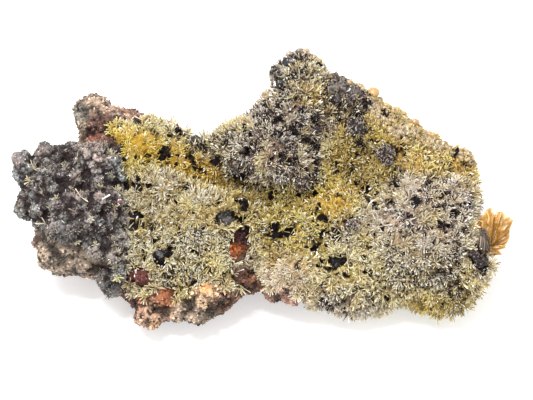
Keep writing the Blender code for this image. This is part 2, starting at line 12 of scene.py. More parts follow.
import bmesh
import bpy
import numpy as np
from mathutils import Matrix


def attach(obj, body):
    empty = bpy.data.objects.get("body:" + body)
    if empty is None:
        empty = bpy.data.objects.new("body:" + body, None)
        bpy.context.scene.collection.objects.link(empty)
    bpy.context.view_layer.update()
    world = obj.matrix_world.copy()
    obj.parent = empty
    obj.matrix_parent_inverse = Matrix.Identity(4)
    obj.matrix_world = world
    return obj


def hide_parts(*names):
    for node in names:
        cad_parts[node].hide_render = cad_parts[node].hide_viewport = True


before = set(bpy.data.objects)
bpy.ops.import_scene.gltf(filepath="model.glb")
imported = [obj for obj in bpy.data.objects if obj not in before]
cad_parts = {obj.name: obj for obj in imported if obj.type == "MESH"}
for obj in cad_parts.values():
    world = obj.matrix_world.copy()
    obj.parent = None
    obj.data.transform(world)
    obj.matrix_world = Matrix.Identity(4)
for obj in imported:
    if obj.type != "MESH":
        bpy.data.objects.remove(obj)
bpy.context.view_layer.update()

MM = 0.001
print("solids", sorted(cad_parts))

# %% [markdown]
# ## The face frame
#
# The crystal face leans back on its flat foot. Everything that belongs to the face is easier to
# place in its own frame: u to the right, v up the face and w out of it, in millimetres. Points are
# kept as numpy arrays in millimetres, and only turned into metres when a mesh is made.

# %% Turning points between the world and the face
LEAN = math.radians(30)
SHIFT_X, SHIFT_Y = -0.3, -29.2
GIRTH_W, GIRTH_FALL = 5.2, 0.196
OUTWARD = np.array([0, -math.sin(LEAN), math.cos(LEAN)])


def to_face(points):
    """World mm to u, v, w: a shift along x and y, then a turn by the lean about x."""
    x, y, z = points[:, 0] - SHIFT_X, points[:, 1] - SHIFT_Y, points[:, 2]
    return x, y * math.cos(LEAN) + z * math.sin(LEAN), z * math.cos(LEAN) - y * math.sin(LEAN)


def to_world(u, v, w):
    """u, v, w to world mm: the reverse turn, then the shift back."""
    y = v * math.cos(LEAN) - w * math.sin(LEAN) + SHIFT_Y
    return np.stack([u + SHIFT_X, y, v * math.sin(LEAN) + w * math.cos(LEAN)], axis=-1)


def girth(v):
    """Height w of the specimen's widest girth: a plane that falls away up the face."""
    return GIRTH_W - GIRTH_FALL * v


# %% [markdown]
# ## Colours as light
#
# Colours are written as a screen shows them, from 0 to 255, and turned into the linear light that
# the shaders work in. Two of them are blended by a share, which may be different at each point.

# %% Turning colours into light
BRIGHTEST = 0.93                   # no needle gives back more of the light than this


def colour(red, green, blue):
    """c / 12.92 where c is small, and else ((c + 0.055) / 1.055) to the power of 2.4."""
    part = np.array([red, green, blue]) / 255
    return np.where(part < 0.04045, part / 12.92, ((part + 0.055) / 1.055) ** 2.4)


def blend(first, second, share):
    """The first times (1 - share) plus the second times the share."""
    return first * (1 - share) + second * share


# %% [markdown]
# ## Noise in whole arrays
#
# Rock is rough at every size at once. Two kinds of repeatable noise give that roughness. Smooth
# noise rolls gently up and down between the points of a lattice. Cell noise measures how far each
# point is from the nearest of many scattered seeds, so turned upside down it makes round lumps.
# Both take whole arrays of points, which is far faster than visiting one vertex at a time.

# %% Smooth noise and cell noise
def scatter(lattice, seed):
    """A number from 0 to 1 for each whole-numbered lattice point, by mixing its bits."""
    mixed = lattice.astype(np.int64) @ np.array([73856093, 19349663, 83492791]) + seed * 7919
    mixed = (mixed ^ (mixed >> 13)) * 1274126177 % 4294967296
    mixed = (mixed ^ (mixed >> 15)) * 2246822519 % 4294967296
    return (mixed ^ (mixed >> 16)) % 65536 / 65535


CORNERS = np.array([[i, j, k] for i in (0, 1) for j in (0, 1) for k in (0, 1)])
NEIGHBOURS = np.array([[i, j, k] for i in (-1, 0, 1) for j in (-1, 0, 1) for k in (-1, 0, 1)])


def roll(points, size, seed=0):
    """Smooth noise from -1 to 1: the lattice's numbers blended by 3t^2 - 2t^3 along each axis."""
    scaled = points / size
    base = np.floor(scaled)
    t = scaled - base
    t = t * t * (3 - 2 * t)
    total = np.zeros(len(points))
    for corner in CORNERS:
        share = np.prod(np.where(corner, t, 1 - t), axis=1)
        total += share * scatter(base + corner, seed)
    return total * 2 - 1


def lumps(points, size, seed=0):
    """Cell noise: 1 at a scattered seed, falling as a dome to 0 at seven tenths of a cell from it."""
    scaled = points / size
    base = np.floor(scaled)
    nearest = np.full(len(points), 9.0)
    for step in NEIGHBOURS:
        cell = base + step
        place = cell + np.stack([scatter(cell, seed + k) for k in range(3)], axis=1)
        nearest = np.minimum(nearest, ((place - scaled) ** 2).sum(axis=1))
    return np.sqrt(np.clip(1 - nearest / 0.49, 0, 1))


# %% [markdown]
# ## Skins
#
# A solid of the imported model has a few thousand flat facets. A skin is a finely meshed copy of
# it: the copy's loose triangles are merged, a voxel Remesh gives it even small faces, and a few
# rounds of averaging take the facets away. Its points then move by noise, along their normals.

# %% Making a skin from a solid
def read_mesh(mesh):
    """Points in mm and faces as an array of corner numbers, four to a face."""
    points = np.empty(len(mesh.vertices) * 3)
    mesh.vertices.foreach_get("co", points)
    corners = np.empty(len(mesh.loops), dtype=np.int64)
    mesh.loops.foreach_get("vertex_index", corners)
    return points.reshape(-1, 3) / MM, corners.reshape(-1, 4)


def skin_of(node, voxel):
    """A remeshed copy of a solid: every face a quad of about `voxel` mm."""
    bm = bmesh.new()
    bm.from_mesh(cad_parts[node].data)
    bmesh.ops.remove_doubles(bm, verts=bm.verts, dist=1e-6)
    mesh = bpy.data.meshes.new(node + "_skin")
    bm.to_mesh(mesh)
    bm.free()
    copy = bpy.data.objects.new(node + "_skin", mesh)
    bpy.context.scene.collection.objects.link(copy)
    tool = copy.modifiers.new("skin", "REMESH")
    tool.mode = "VOXEL"
    tool.voxel_size = voxel * MM
    bpy.context.view_layer.update()
    fine = bpy.data.meshes.new_from_object(copy.evaluated_get(bpy.context.evaluated_depsgraph_get()))
    bpy.data.objects.remove(copy, do_unlink=True)
    points, faces = read_mesh(fine)
    bpy.data.meshes.remove(fine)
    bpy.data.meshes.remove(mesh)
    return points, faces


def averaged(values, faces, rounds):
    """Each point's value moved to the mean of its neighbours', the given number of times."""
    ends = np.concatenate([faces[:, [k, (k + 1) % 4]] for k in range(4)])
    count = np.bincount(ends[:, 0], minlength=len(values))[:, None]
    for _ in range(rounds):
        sums = [np.bincount(ends[:, 0], weights=values[ends[:, 1], axis], minlength=len(values))
                for axis in range(values.shape[1])]
        values = np.stack(sums, axis=1) / count
    return values


def unit(vectors):
    """Vectors scaled to length one."""
    return vectors / np.maximum(np.linalg.norm(vectors, axis=-1, keepdims=True), 1e-9)


def normals_of(points, faces):
    """Unit normals at the points: each face's cross product of diagonals, summed at its corners."""
    across = np.cross(points[faces[:, 2]] - points[faces[:, 0]], points[faces[:, 3]] - points[faces[:, 1]])
    sums = [np.bincount(faces.ravel(), weights=np.repeat(across[:, axis], 4), minlength=len(points))
            for axis in range(3)]
    return unit(np.stack(sums, axis=1))


def near(points, others, reach):
    """Whether each point has one of the others in its own cell of side `reach` or in a cell beside it."""
    mix, shift = np.array([1, 4096, 4096 ** 2]), 1024
    taken = np.unique((np.floor(others / reach) + shift).astype(np.int64) @ mix)
    own = (np.floor(points / reach) + shift).astype(np.int64)
    found = np.zeros(len(points), dtype=bool)
    for step in NEIGHBOURS:
        found |= np.isin((own + step) @ mix, taken)
    return found


# %% [markdown]
# ## Materials as expressions
#
# A material is a small calculation, so it is written as one. A Wire stands for a socket in the
# node tree. Sums and products on it add Math nodes, `mix` blends two colours by it, and `node`
# adds any other node. The Principled shader's own sockets take what is the same all over.

# %% The Wire class
class Wire:
    """A socket in a material's node tree."""

    def __init__(self, tree, socket=None):
        """Keep the tree and the socket; the Wire that a material starts from has no socket."""
        self.tree = tree
        self.socket = socket

    def node(self, kind, settings=(), sockets=(), out=0):
        """Add a node: its settings first, then the value or link of each socket."""
        made = self.tree.nodes.new(kind)
        for name, value in dict(settings).items():
            setattr(made, name, value)
        for key, value in dict(sockets).items():
            if isinstance(value, Wire):
                self.tree.links.new(value.socket, made.inputs[key])
            else:
                made.inputs[key].default_value = value
        return Wire(self.tree, made.outputs[out]) if made.outputs else None

    def __add__(self, other):
        """The sum of this wire and another, or a number."""
        return self.node("ShaderNodeMath", {"operation": "ADD"}, {0: self, 1: other})

    def __mul__(self, other):
        """The product of this wire and another, or a number."""
        return self.node("ShaderNodeMath", {"operation": "MULTIPLY"}, {0: self, 1: other})

    def above(self, low, high):
        """0 at or under `low`, 1 at or over `high`, and a straight line between."""
        return self.node("ShaderNodeMapRange", {}, {0: self, 1: low, 2: high})

    def mix(self, first, second, how="MIX"):
        """Blend two colours by this wire as the share of the second, on the node's colour sockets."""
        return self.node("ShaderNodeMix", {"data_type": "RGBA", "blend_type": how},
                         {0: self, 6: first, 7: second}, out=2)


def finish_named(name):
    """A new material and the Wire that its nodes are added through."""
    made = bpy.data.materials.new(name)
    made.use_nodes = True
    made.node_tree.nodes.clear()
    return made, Wire(made.node_tree)


def tinted_finish(name):
    """A new material, its starting Wire, and the Wire of the tint that each point carries."""
    made, start = finish_named(name)
    return made, start, start.node("ShaderNodeAttribute", {"attribute_name": "tint"})


def principled(start, base, bump=None, distance=0.0, **values):
    """Close a material: a Principled shader with a base colour, a bump in metres, and set values."""
    sockets = {"Base Color": base, **{key.replace("_", " "): value for key, value in values.items()}}
    if bump is not None:
        sockets["Normal"] = start.node("ShaderNodeBump", {}, {"Strength": 1.0, "Distance": distance,
                                                              "Height": bump})
    shader = start.node("ShaderNodeBsdfPrincipled", {}, sockets)
    start.node("ShaderNodeOutputMaterial", {}, {"Surface": shader})


def grain(start, size, detail):
    """Noise on the piece's own coordinates, with features of about `size` mm."""
    place = start.node("ShaderNodeTexCoord", out="Object")
    return start.node("ShaderNodeTexNoise", {}, {"Vector": place, "Scale": 1 / (size * MM),
                                                 "Detail": detail, "Roughness": 0.55})


def cells(start, size):
    """Distance to the nearest of many seeds about `size` mm apart, 0 at a seed."""
    place = start.node("ShaderNodeTexCoord", out="Object")
    return start.node("ShaderNodeTexVoronoi", {}, {"Vector": place, "Scale": 1 / (size * MM)})


# %% [markdown]
# ## Putting a piece into the scene
#
# Every piece goes the same way: points and faces into a mesh, a tint at each point, a material,
# the body that it rides on, and the solids that it stands for. The tint carries the slow changes of
# colour, which follow the place on the face.

# %% One function for every piece
def add_piece(name, points, faces, tint, material, stands_for=(), smooth=False):
    """Make a mesh object from points in mm and a list of face arrays, and hand it to the frame."""
    mesh = bpy.data.meshes.new(name)
    mesh.vertices.add(len(points))
    mesh.vertices.foreach_set("co", (points * MM).ravel())
    sizes = np.concatenate([np.full(len(part), part.shape[1]) for part in faces])
    corners = np.concatenate([part.ravel() for part in faces])
    mesh.loops.add(len(corners))
    mesh.loops.foreach_set("vertex_index", corners.astype(np.int32))
    mesh.polygons.add(len(sizes))
    mesh.polygons.foreach_set("loop_start", (np.cumsum(sizes) - sizes).astype(np.int32))
    mesh.polygons.foreach_set("use_smooth", np.full(len(sizes), smooth))
    mesh.update(calc_edges=True)
    shades = np.ones((len(points), 4))
    shades[:, :3] = tint
    layer = mesh.attributes.new("tint", "FLOAT_COLOR", "POINT")
    layer.data.foreach_set("color", shades.ravel())
    mesh.materials.append(material)
    piece = bpy.data.objects.new(name, mesh)
    bpy.context.scene.collection.objects.link(piece)
    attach(piece, "root")
    if stands_for:
        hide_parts(*stands_for)
    print(name, len(points), "points,", int((sizes - 2).sum()), "triangles")


# %% [markdown]
# ## Colours of the face
#
# The crust changes colour in broad patches: golden on the left shoulder and in the hollows, pale
# straw on the ridges and on the right mound, peppered grey on the peak, tan along the right
# skyline, and olive as painted shade in the trough under the peak's brow. Each patch is a soft
# ellipse on the face with the colour of its needle tips, the colour at their roots, which is darker
# as painted shade down among the needles, the share of needles that are dusted dark, and how long
# and thick its needles are against the others. A point takes the weighted mean.

# %% Patches of the needle crust
COLOUR = TIP = 6                   # columns of the tables of patches
ROOT, DUSTED, LENGTH, THICKNESS = 7, 8, 9, 10
NEEDLE_PATCHES = (
    # name, u, v, half length, half width, turn, tip colour, root colour, dusted, length, thickness
    ("gold_shoulder", -31.5, 42.6, 8, 5, -12, (234, 206, 110), (190, 152, 54), 0.00, 0.85, 0.95),
    ("straw_skyline", -26.0, 48.8, 9, 3, -12, (242, 230, 186), (186, 166, 116), 0.06, 0.95, 1.0),
    ("saddle", -10.0, 45.6, 6, 5, 0, (228, 214, 172), (142, 124, 92), 0.2, 1.0, 1.0),
    ("straw_ridge", -19.0, 29.6, 13, 6, -25, (244, 232, 204), (180, 156, 104), 0.05, 1.15, 0.9),
    ("straw_foot", -17.6, 17.4, 12, 8, 0, (248, 236, 202), (172, 152, 98), 0.10, 1.1, 1.1),
    ("trough_gold", -14.0, 35.6, 10, 3, -20, (230, 190, 70), (180, 138, 34), 0.02, 0.8, 0.95),
    # painted shade: the olive trough under the peak's brow is painted darker for the brow's shadow
    ("trough_olive_shade", -0.4, 32.2, 10, 4.5, -10, (172, 150, 82), (100, 84, 36), 0.06, 0.9, 0.9),
    ("peak_pepper", 1.4, 46.6, 11, 9, -30, (242, 226, 206), (136, 114, 100), 0.25, 1.0, 0.9),
    ("peak_top", 8.4, 61.6, 7, 6, 60, (240, 224, 190), (156, 134, 104), 0.18, 0.9, 0.9),
    ("peak_mauve", 12.2, 64.4, 2.4, 2.0, 0, (212, 176, 172), (136, 96, 98), 0.22, 0.7, 0.9),
    ("peak_gold", 12.0, 56.0, 4, 3.5, 0, (228, 202, 128), (168, 134, 62), 0.06, 1.0, 1.0),
    ("slope_grey", 20.0, 55.4, 7, 4, -10, (208, 194, 170), (112, 96, 80), 0.42, 0.9, 0.9),
    ("slope_tan", 35.6, 48.6, 18, 4, -32, (214, 186, 132), (158, 128, 80), 0.03, 0.75, 1.0),
    ("mid_gold", 24.0, 38.0, 8, 9, 20, (214, 192, 126), (154, 126, 58), 0.10, 0.95, 1.0),
    ("gold_dome", 17.2, 29.2, 5.6, 4, 0, (248, 214, 114), (208, 164, 60), 0.00, 0.75, 0.95),
    ("centre_straw", 6.4, 24.6, 10, 7, 0, (240, 218, 148), (172, 146, 72), 0.07, 1.1, 1.15),
    ("foot_rust", -27.0, 12.0, 4, 2.2, 0, (214, 194, 148), (110, 82, 56), 0.15, 0.9, 1.0),
    ("lower_pale", 6.4, 12.6, 9, 5, -8, (246, 232, 204), (202, 170, 134), 0.02, 1.05, 0.9),
    ("lower_olive", 21.0, 15.4, 10, 7, 0, (252, 240, 196), (206, 184, 122), 0.03, 1.05, 1.15),
    ("lower_grey", 18.6, 6.4, 7, 3.5, 0, (234, 222, 202), (160, 142, 124), 0.2, 0.9, 0.9),
    ("pale_tuft", 21.4, 24.6, 4, 4, 0, (248, 240, 216), (110, 84, 70), 0.14, 1.2, 0.9),
    ("right_mound", 39.2, 27.0, 13, 8, -8, (254, 244, 228), (198, 174, 152), 0.15, 1.1, 1.0),
    ("right_low", 38.0, 15.8, 13, 7, 0, (240, 226, 194), (160, 138, 100), 0.16, 1.0, 1.0),
    ("right_gold", 41.6, 39.2, 9, 4, -10, (238, 212, 138), (188, 150, 74), 0.05, 0.9, 1.1),
    ("rim_olive", 41.6, 5.4, 10, 3.5, 0, (200, 180, 110), (134, 112, 54), 0.08, 0.9, 1.1),
    ("peak_shoulder", 1.5, 53.0, 4, 3, 0, (212, 192, 164), (150, 130, 108), 0.2, 0.9, 0.9),
    ("mound_edge", 51.0, 29.4, 2.4, 3.0, 0, (220, 202, 166), (150, 130, 100), 0.2, 0.9, 1.0),
    ("gold_puff", 14.2, 17.4, 2.0, 2.0, 0, (242, 206, 96), (198, 158, 48), 0.00, 0.75, 0.95),
    ("ochre_puff", 3.0, 16.2, 2.0, 2.0, 0, (234, 200, 112), (186, 148, 66), 0.00, 0.8, 0.95),
    ("olive_puff", 20.8, 13.6, 2.0, 1.6, 0, (228, 198, 98), (174, 140, 50), 0.00, 0.8, 0.95),
    ("right_edge", 53.0, 25.0, 3, 14, 0, (230, 212, 164), (164, 134, 84), 0.12, 0.9, 1.0),
)


def patch_weights(u, v, patches):
    """Weight of each patch at each point: exp(-1.5 q), q the squared distance in its half widths."""
    weights = []
    for _, cu, cv, half_length, half_width, turn, *_ in patches:
        c, s = math.cos(math.radians(turn)), math.sin(math.radians(turn))
        along = ((u - cu) * c + (v - cv) * s) / half_length
        across = ((v - cv) * c - (u - cu) * s) / half_width
        weights.append(np.exp(-1.5 * (along ** 2 + across ** 2)) + 1e-6)
    weights = np.array(weights)
    return weights / weights.sum(axis=0)


def patch_values(u, v, patches, column):
    """One column of the patches' table, as its weighted mean at each point; colours become light."""
    values = [colour(*row[column]) if isinstance(row[column], tuple) else [row[column]] for row in patches]
    return patch_weights(u, v, patches).T @ np.array(values)


def slope_share(u, v):
    """The weight of the right slope's patch, where rounded grains grow in the place of needles."""
    names = [row[0] for row in NEEDLE_PATCHES]
    return patch_weights(u, v, NEEDLE_PATCHES)[names.index("slope_tan")]


print(len(NEEDLE_PATCHES), "patches on the needle crust")

# %% [markdown]
# ## Gaps in the crust
#
# Black gaps open between the tufts: narrow, ragged shards where one looks down into the oxide,
# whose near-black colour there is the dark oxide deepened by painted shade. The large ones have a
# place in a table. Each is a narrow oval, turned its own way, with an edge that noise tears. Noise
# alone opens the many small ones. In a few wider ovals the needles stay away altogether, and the
# rock comes up between them.

# %% Gaps and bare places
GAPS = (
    # u, v, radius
    (-30.0, 49.6, 0.8), (-29.5, 47.2, 0.8), (-20.6, 47.4, 1.2), (-24.0, 42.8, 1.3), (-24.0, 41.2, 1.2),
    (-17.6, 40.6, 1.3), (-16.6, 39.2, 1.1), (-11.4, 40.0, 1.3), (-5.2, 36.6, 1.2), (-5.0, 34.6, 1.2),
    (-6.1, 30.0, 1.2), (-4.4, 29.4, 1.2), (-11.0, 29.6, 0.8), (-15.7, 32.3, 0.6), (-4.8, 25.6, 1.5),
    (-4.0, 23.6, 1.4), (-30.8, 26.6, 1.9), (-30.2, 24.6, 1.5), (-32.7, 33.9, 1.1), (-29.4, 33.0, 1.1),
    (-30.4, 35.2, 0.9), (16.7, 51.3, 1.1), (17.7, 54.0, 1.1), (2.2, 33.4, 1.3), (2.0, 30.6, 1.0),
    (8.8, 32.0, 0.7), (12.6, 32.1, 0.9), (14.9, 33.7, 0.6), (13.3, 28.4, 1.1), (13.4, 26.2, 1.3),
    (15.4, 25.7, 0.8), (17.6, 23.4, 1.2), (14.3, 22.7, 1.0), (2.7, 24.0, 1.5), (3.4, 22.2, 1.3),
    (6.4, 22.8, 1.4), (12.1, 18.6, 1.0), (13.8, 15.2, 1.1), (17.9, 21.5, 0.8), (20.1, 12.6, 0.8),
    (24.7, 32.9, 1.3), (34.4, 26.4, 1.0), (45.7, 27.6, 1.0), (24.9, 13.3, 0.9), (29.5, 7.3, 0.9),
    (-5.8, 22.3, 1.2), (-26.0, 21.0, 0.8), (-20.4, 24.0, 0.8), (-13.0, 14.6, 0.8), (-28.4, 17.2, 0.9),
    (-20.0, 16.6, 0.7), (31.0, 30.0, 0.9), (9.4, 38.2, 1.0), (5.6, 40.2, 1.0), (-3.6, 42.0, 0.9),
    (3.4, 49.6, 1.0), (12.6, 43.6, 0.9), (27.8, 50.6, 0.9), (33.2, 46.0, 0.8), (-9.6, 26.4, 1.7),
    (-8.2, 27.4, 1.4), (-24.4, 16.6, 1.5), (-22.4, 18.0, 1.4), (17.4, 15.7, 1.9), (50.4, 17.4, 1.8),
    (51.6, 15.8, 1.7), (38.4, 21.6, 0.9), (42.6, 31.4, 0.9), (22.0, 34.4, 0.8), (28.6, 24.0, 0.9),
)
BARE = (
    # u, v, half length, half width
    (-13.2, 8.6, 4.6, 2.6), (-23.6, 7.4, 2.8, 2.6), (-5.8, 19.4, 2.5, 4.2), (-5.6, 13.0, 1.6, 2.6),
    (-19.0, 5.0, 4.0, 1.6), (-31.8, 13.4, 1.6, 2.2), (-7.4, 7.4, 3.0, 1.6), (-2.7, 10.2, 2.8, 2.8),
    (-28.8, 12.0, 2.2, 2.2), (-29.4, 6.0, 2.0, 1.8),
)


def bareness(u, v):
    """From 1 in the middle of a bare oval to 0 at its edge, less beyond it."""
    return np.max([1 - np.hypot((u - bu) / long, (v - bv) / wide) for bu, bv, long, wide in BARE], axis=0)


def gap_depth(u, v):
    """From 1 in the middle of a gap to 0 at its ragged edge, less beyond it."""
    flat = np.stack([u, v, np.zeros(len(u))], axis=1)
    ragged = 1 + 0.7 * roll(flat, 0.7, 33)
    torn = roll(flat * [1.0, 1.7, 1.0], 1.5, 34) + 0.6 * roll(flat, 0.6, 35)
    deepest = np.minimum(2.2 * (torn - 0.78), 1)
    for number, (gu, gv, radius) in enumerate(GAPS):
        c, s = math.cos(2.4 * number), math.sin(2.4 * number)
        along = ((u - gu) * c + (v - gv) * s) / 1.4
        across = ((v - gv) * c - (u - gu) * s) / 0.75
        deepest = np.maximum(deepest, 1 - np.hypot(along, across) / (radius * ragged))
    return deepest


print(len(GAPS), "gaps and", len(BARE), "bare places")

# %% [markdown]
# ## The rock
#
# Gossan is rusty, sugary and full of small lumps. Its skin is lifted by domes of two sizes and by
# smooth noise, and pressed flat where it rests. A table of soft bumps carries it, and later the
# mass, a little farther out or in. Where the rock is bare its colour comes in patches too: a grey
# and maroon knob, a pinkish strip behind it, beige rock at the lower left, a tan foot. Painted shade
# darkens it in the hollows between its lumps, in a band under the mass and in a pit.

# %% Where the skins stand farther out or in
SWELLS = (
    # u, v, radius, height: out where it is above 0 and in where it is below
    (8.0, 66.5, 6.0, 1.0), (5.6, 67.4, 2.4, 1.4), (0.8, 60.4, 2.2, 0.7), (0.2, 56.2, 1.8, 0.9),
    (-1.5, 53.0, 3.6, 0.8), (21.0, 59.0, 4.0, 0.4), (29.0, 54.0, 4.0, 0.4), (36.0, 50.0, 4.0, 0.3),
    (41.6, 47.4, 1.8, -0.5), (44.0, 45.0, 4.0, 0.6), (51.5, 40.0, 4.0, 1.4), (51.4, 42.2, 1.8, 1.1),
    (52.4, 36.8, 1.8, -0.4), (52.4, 24.4, 3.0, -3.6), (54.0, 14.0, 4.5, 0.6), (49.0, 4.0, 4.0, 0.4),
    (41.0, 3.4, 3.0, 0.5), (32.0, 4.2, 3.0, -0.6), (26.5, 3.2, 3.0, 0.9), (21.0, 3.0, 5.0, 0.4),
    (15.0, 3.6, 2.0, 0.9), (11.0, 5.0, 2.0, -0.9), (1.2, 7.2, 2.2, 0.6), (-2.6, 8.0, 4.2, -0.9),
    (-8.4, 4.8, 3.0, -0.5), (-19.0, 49.0, 3.0, 0.6), (-20.0, 1.4, 4.0, -0.2), (-30.6, 1.6, 2.0, 0.5),
    (-35.4, 8.2, 2.2, 0.4), (-35.0, 12.4, 1.6, 0.8), (-38.6, 10.2, 1.8, 0.5), (-44.6, 54.0, 2.4, 0.7),
    (-45.0, 50.6, 1.6, 0.7), (-40.8, 55.6, 2.4, 0.2), (-34.6, 54.4, 2.4, -0.4), (-48.6, 44.2, 1.8, -0.6),
    (-52.8, 43.4, 1.8, 1.2), (-58.6, 40.8, 2.0, 1.8), (-59.6, 31.0, 4.0, -0.5), (-54.8, 16.2, 2.2, -0.4),
    (-49.0, 22.6, 3.6, 0.9), (-41.0, 19.6, 3.0, 0.5), (-36.6, 20.6, 2.6, -0.4),
)


def swell(points):
    """Sum of soft bumps on the face: each its height times exp(-(distance / radius)^2)."""
    u, v, _ = to_face(points)
    return sum(high * np.exp(-((u - su) ** 2 + (v - sv) ** 2) / radius ** 2)
               for su, sv, radius, high in SWELLS)


# %% Shape of the rock
ROCK_VOXEL, CRUST_VOXEL, OXIDE_VOXEL = 0.55, 0.7, 0.22
TOUCH = 0.6                        # rock this close to another skin lies under it
FOOT_TOP = 0.5                     # rock below this height is the flat foot
rock_smooth, rock_faces = skin_of("matrix", ROCK_VOXEL)
rock_smooth = averaged(rock_smooth, rock_faces, 3)
crust_points, _ = skin_of("mimetite_crust", CRUST_VOXEL)
mass_points, mass_faces = skin_of("botryoidal_mass", OXIDE_VOXEL)
under_crust = near(rock_smooth, crust_points, TOUCH)
under_mass = near(rock_smooth, mass_points, TOUCH)
on_foot = rock_smooth[:, 2] < FOOT_TOP
rock_normals = normals_of(rock_smooth, rock_faces)
rock_smooth = rock_smooth + rock_normals * (swell(rock_smooth) * ~on_foot)[:, None]
rock_lift = (0.9 * (lumps(rock_smooth, 3.4, 1) - 0.6) + 0.6 * (lumps(rock_smooth, 1.7, 2) - 0.6)
             + 0.4 * roll(rock_smooth, 2.6, 3) + 0.2 * roll(rock_smooth, 1.1, 4))
rock_lift = np.where(under_crust, 0.4 * rock_lift, rock_lift)
rock_u, rock_v, rock_w = to_face(rock_smooth)
bald = bareness(rock_u, rock_v) + 0.3 * roll(rock_smooth, 1.5, 9)
rock_lift += np.where(under_crust, np.clip(bald * 3, 0, 1), 0) * np.where(rock_v > 15, 0.0, 0.9)
under_crust &= bald < 0
rock_points = rock_smooth + rock_normals * (rock_lift * ~on_foot)[:, None]
rock_points[:, 2] = np.where(on_foot, 0.0, np.maximum(rock_points[:, 2], 0.0))
bare = np.flatnonzero(~under_crust & ~under_mass & ~on_foot)
print("rock points", len(rock_points), "under crust", int(under_crust.sum()), "bare", len(bare))

# %% Colours of the bare rock
ROCK_PATCHES = (
    # name, u, v, half length, half width, turn, colour
    ("knob_top", -40.5, 54.2, 4.5, 2.4, -20, (144, 126, 110)),
    ("knob_face", -39.0, 48.8, 3.6, 3.0, 0, (94, 68, 58)),
    ("knob_left", -44.0, 51.0, 1.8, 3.0, 0, (118, 112, 102)),
    ("knob_foot", -41.6, 46.2, 2.4, 1.4, 0, (98, 62, 48)),
    ("knob_side", -43.6, 47.6, 1.2, 2.4, 0, (140, 122, 104)),
    ("north_strip", -31.0, 52.6, 4.0, 1.2, -14, (140, 112, 96)),
    ("north_end", -20.0, 49.4, 4.0, 1.2, -14, (146, 112, 96)),
    ("beige_foot", -48.0, 16.0, 8.0, 5.5, 10, (132, 118, 104)),
    ("beige_tan", -44.4, 13.0, 3.4, 2.0, 0, (128, 112, 100)),
    ("beige_shelf", -52.8, 18.0, 2.4, 3.4, 0, (146, 130, 112)),
    ("tab", -56.0, 20.5, 2.4, 2.4, 0, (104, 78, 70)),
    # painted shade: the pit is painted nearly black for the shade inside it
    ("pit", -38.2, 13.2, 2.3, 2.6, 0, (30, 16, 18)),
    ("rusty_step", -30.5, 6.0, 3.0, 2.4, 20, (98, 58, 46)),
    ("pink_foot", -27.2, 2.6, 4.0, 3.4, 0, (166, 136, 114)),
    ("foot_spot", -26.0, 1.4, 1.2, 0.9, 0, (150, 108, 50)),
    ("orange_crumbs", -13.6, 9.4, 1.4, 1.0, 0, (214, 140, 76)),
    ("peach", -14.4, 8.6, 3.2, 2.4, 10, (172, 146, 118)),
    ("rust_mid", -8.2, 6.4, 3.4, 2.4, 0, (128, 98, 80)),
    ("pebbles", -15.4, 2.4, 3.6, 1.8, 10, (124, 110, 96)),
    ("velvet_knob", -2.6, 9.8, 2.8, 3.0, 0, (84, 56, 40)),
    ("rust_notch", -6.3, 18.6, 1.3, 1.7, 8, (146, 82, 42)),
    ("maroon_notch", -5.8, 21.8, 1.7, 1.5, 0, (60, 28, 30)),
    ("grey_notch", -4.8, 16.2, 1.4, 1.6, 0, (84, 72, 62)),
    ("brown_notch", -5.2, 11.4, 1.6, 2.4, 0, (62, 40, 34)),
    ("rust_spot", -23.6, 7.6, 2.2, 2.2, 0, (132, 84, 58)),
    ("maroon_step", -28.8, 12.2, 2.0, 2.0, 0, (72, 40, 36)),
    ("white_grains", -18.4, 4.6, 2.4, 1.4, 0, (132, 116, 102)),
    ("pink_lower", 5.4, 7.6, 6.0, 3.0, 6, (142, 112, 98)),
    ("pink_right", 24.0, 4.0, 5.0, 2.0, 0, (144, 118, 106)),
    ("grey_patches", -9.9, 25.9, 2.4, 2.4, 0, (66, 64, 64)),
    ("grey_patch_low", -23.7, 17.2, 2.6, 2.4, 0, (70, 68, 68)),
    ("grey_patch_mid", 17.4, 15.7, 2.4, 2.2, 0, (54, 52, 54)),
    ("grey_shard", 50.8, 16.7, 2.4, 3.0, 0, (50, 46, 48)),
    # painted shade: the band under the dark mass is painted dark for the shadow the mass throws on the rock
    ("under_mass", -45.0, 21.0, 8.0, 1.3, -4, (26, 20, 22)),
    ("under_oxide", -46.0, 30.0, 12.0, 10.0, 0, (54, 46, 45)),
)
ROCK_PLAIN = colour(108, 88, 74)
ROCK_RUST = colour(92, 58, 44)
u, v, w = to_face(rock_points)
seen_side = np.clip((w - girth(v) + 2.0) / 3.0, 0, 1)[:, None]
rusty = np.clip(0.5 + 0.9 * roll(rock_points, 7.0, 5), 0, 1)[:, None]
rock_tint = patch_values(u, v, ROCK_PATCHES, COLOUR) * seen_side
rock_tint += blend(ROCK_PLAIN, ROCK_RUST, rusty) * (1 - seen_side)
rock_tint *= (1 + 0.4 * roll(rock_points, 1.3, 6))[:, None]
# painted shade: the rock is darker in the hollows between its lumps and lighter on their tops
rock_tint *= (0.2 + 1.25 * np.clip(rock_lift + 0.5, 0, 1))[:, None]
# painted shade: under the gaps the rock is painted nearly black, the dark oxide deepened by painted shade
in_gap = under_crust & (gap_depth(u, v) > 0)
rock_tint = np.where(in_gap[:, None], colour(18, 12, 13), rock_tint)

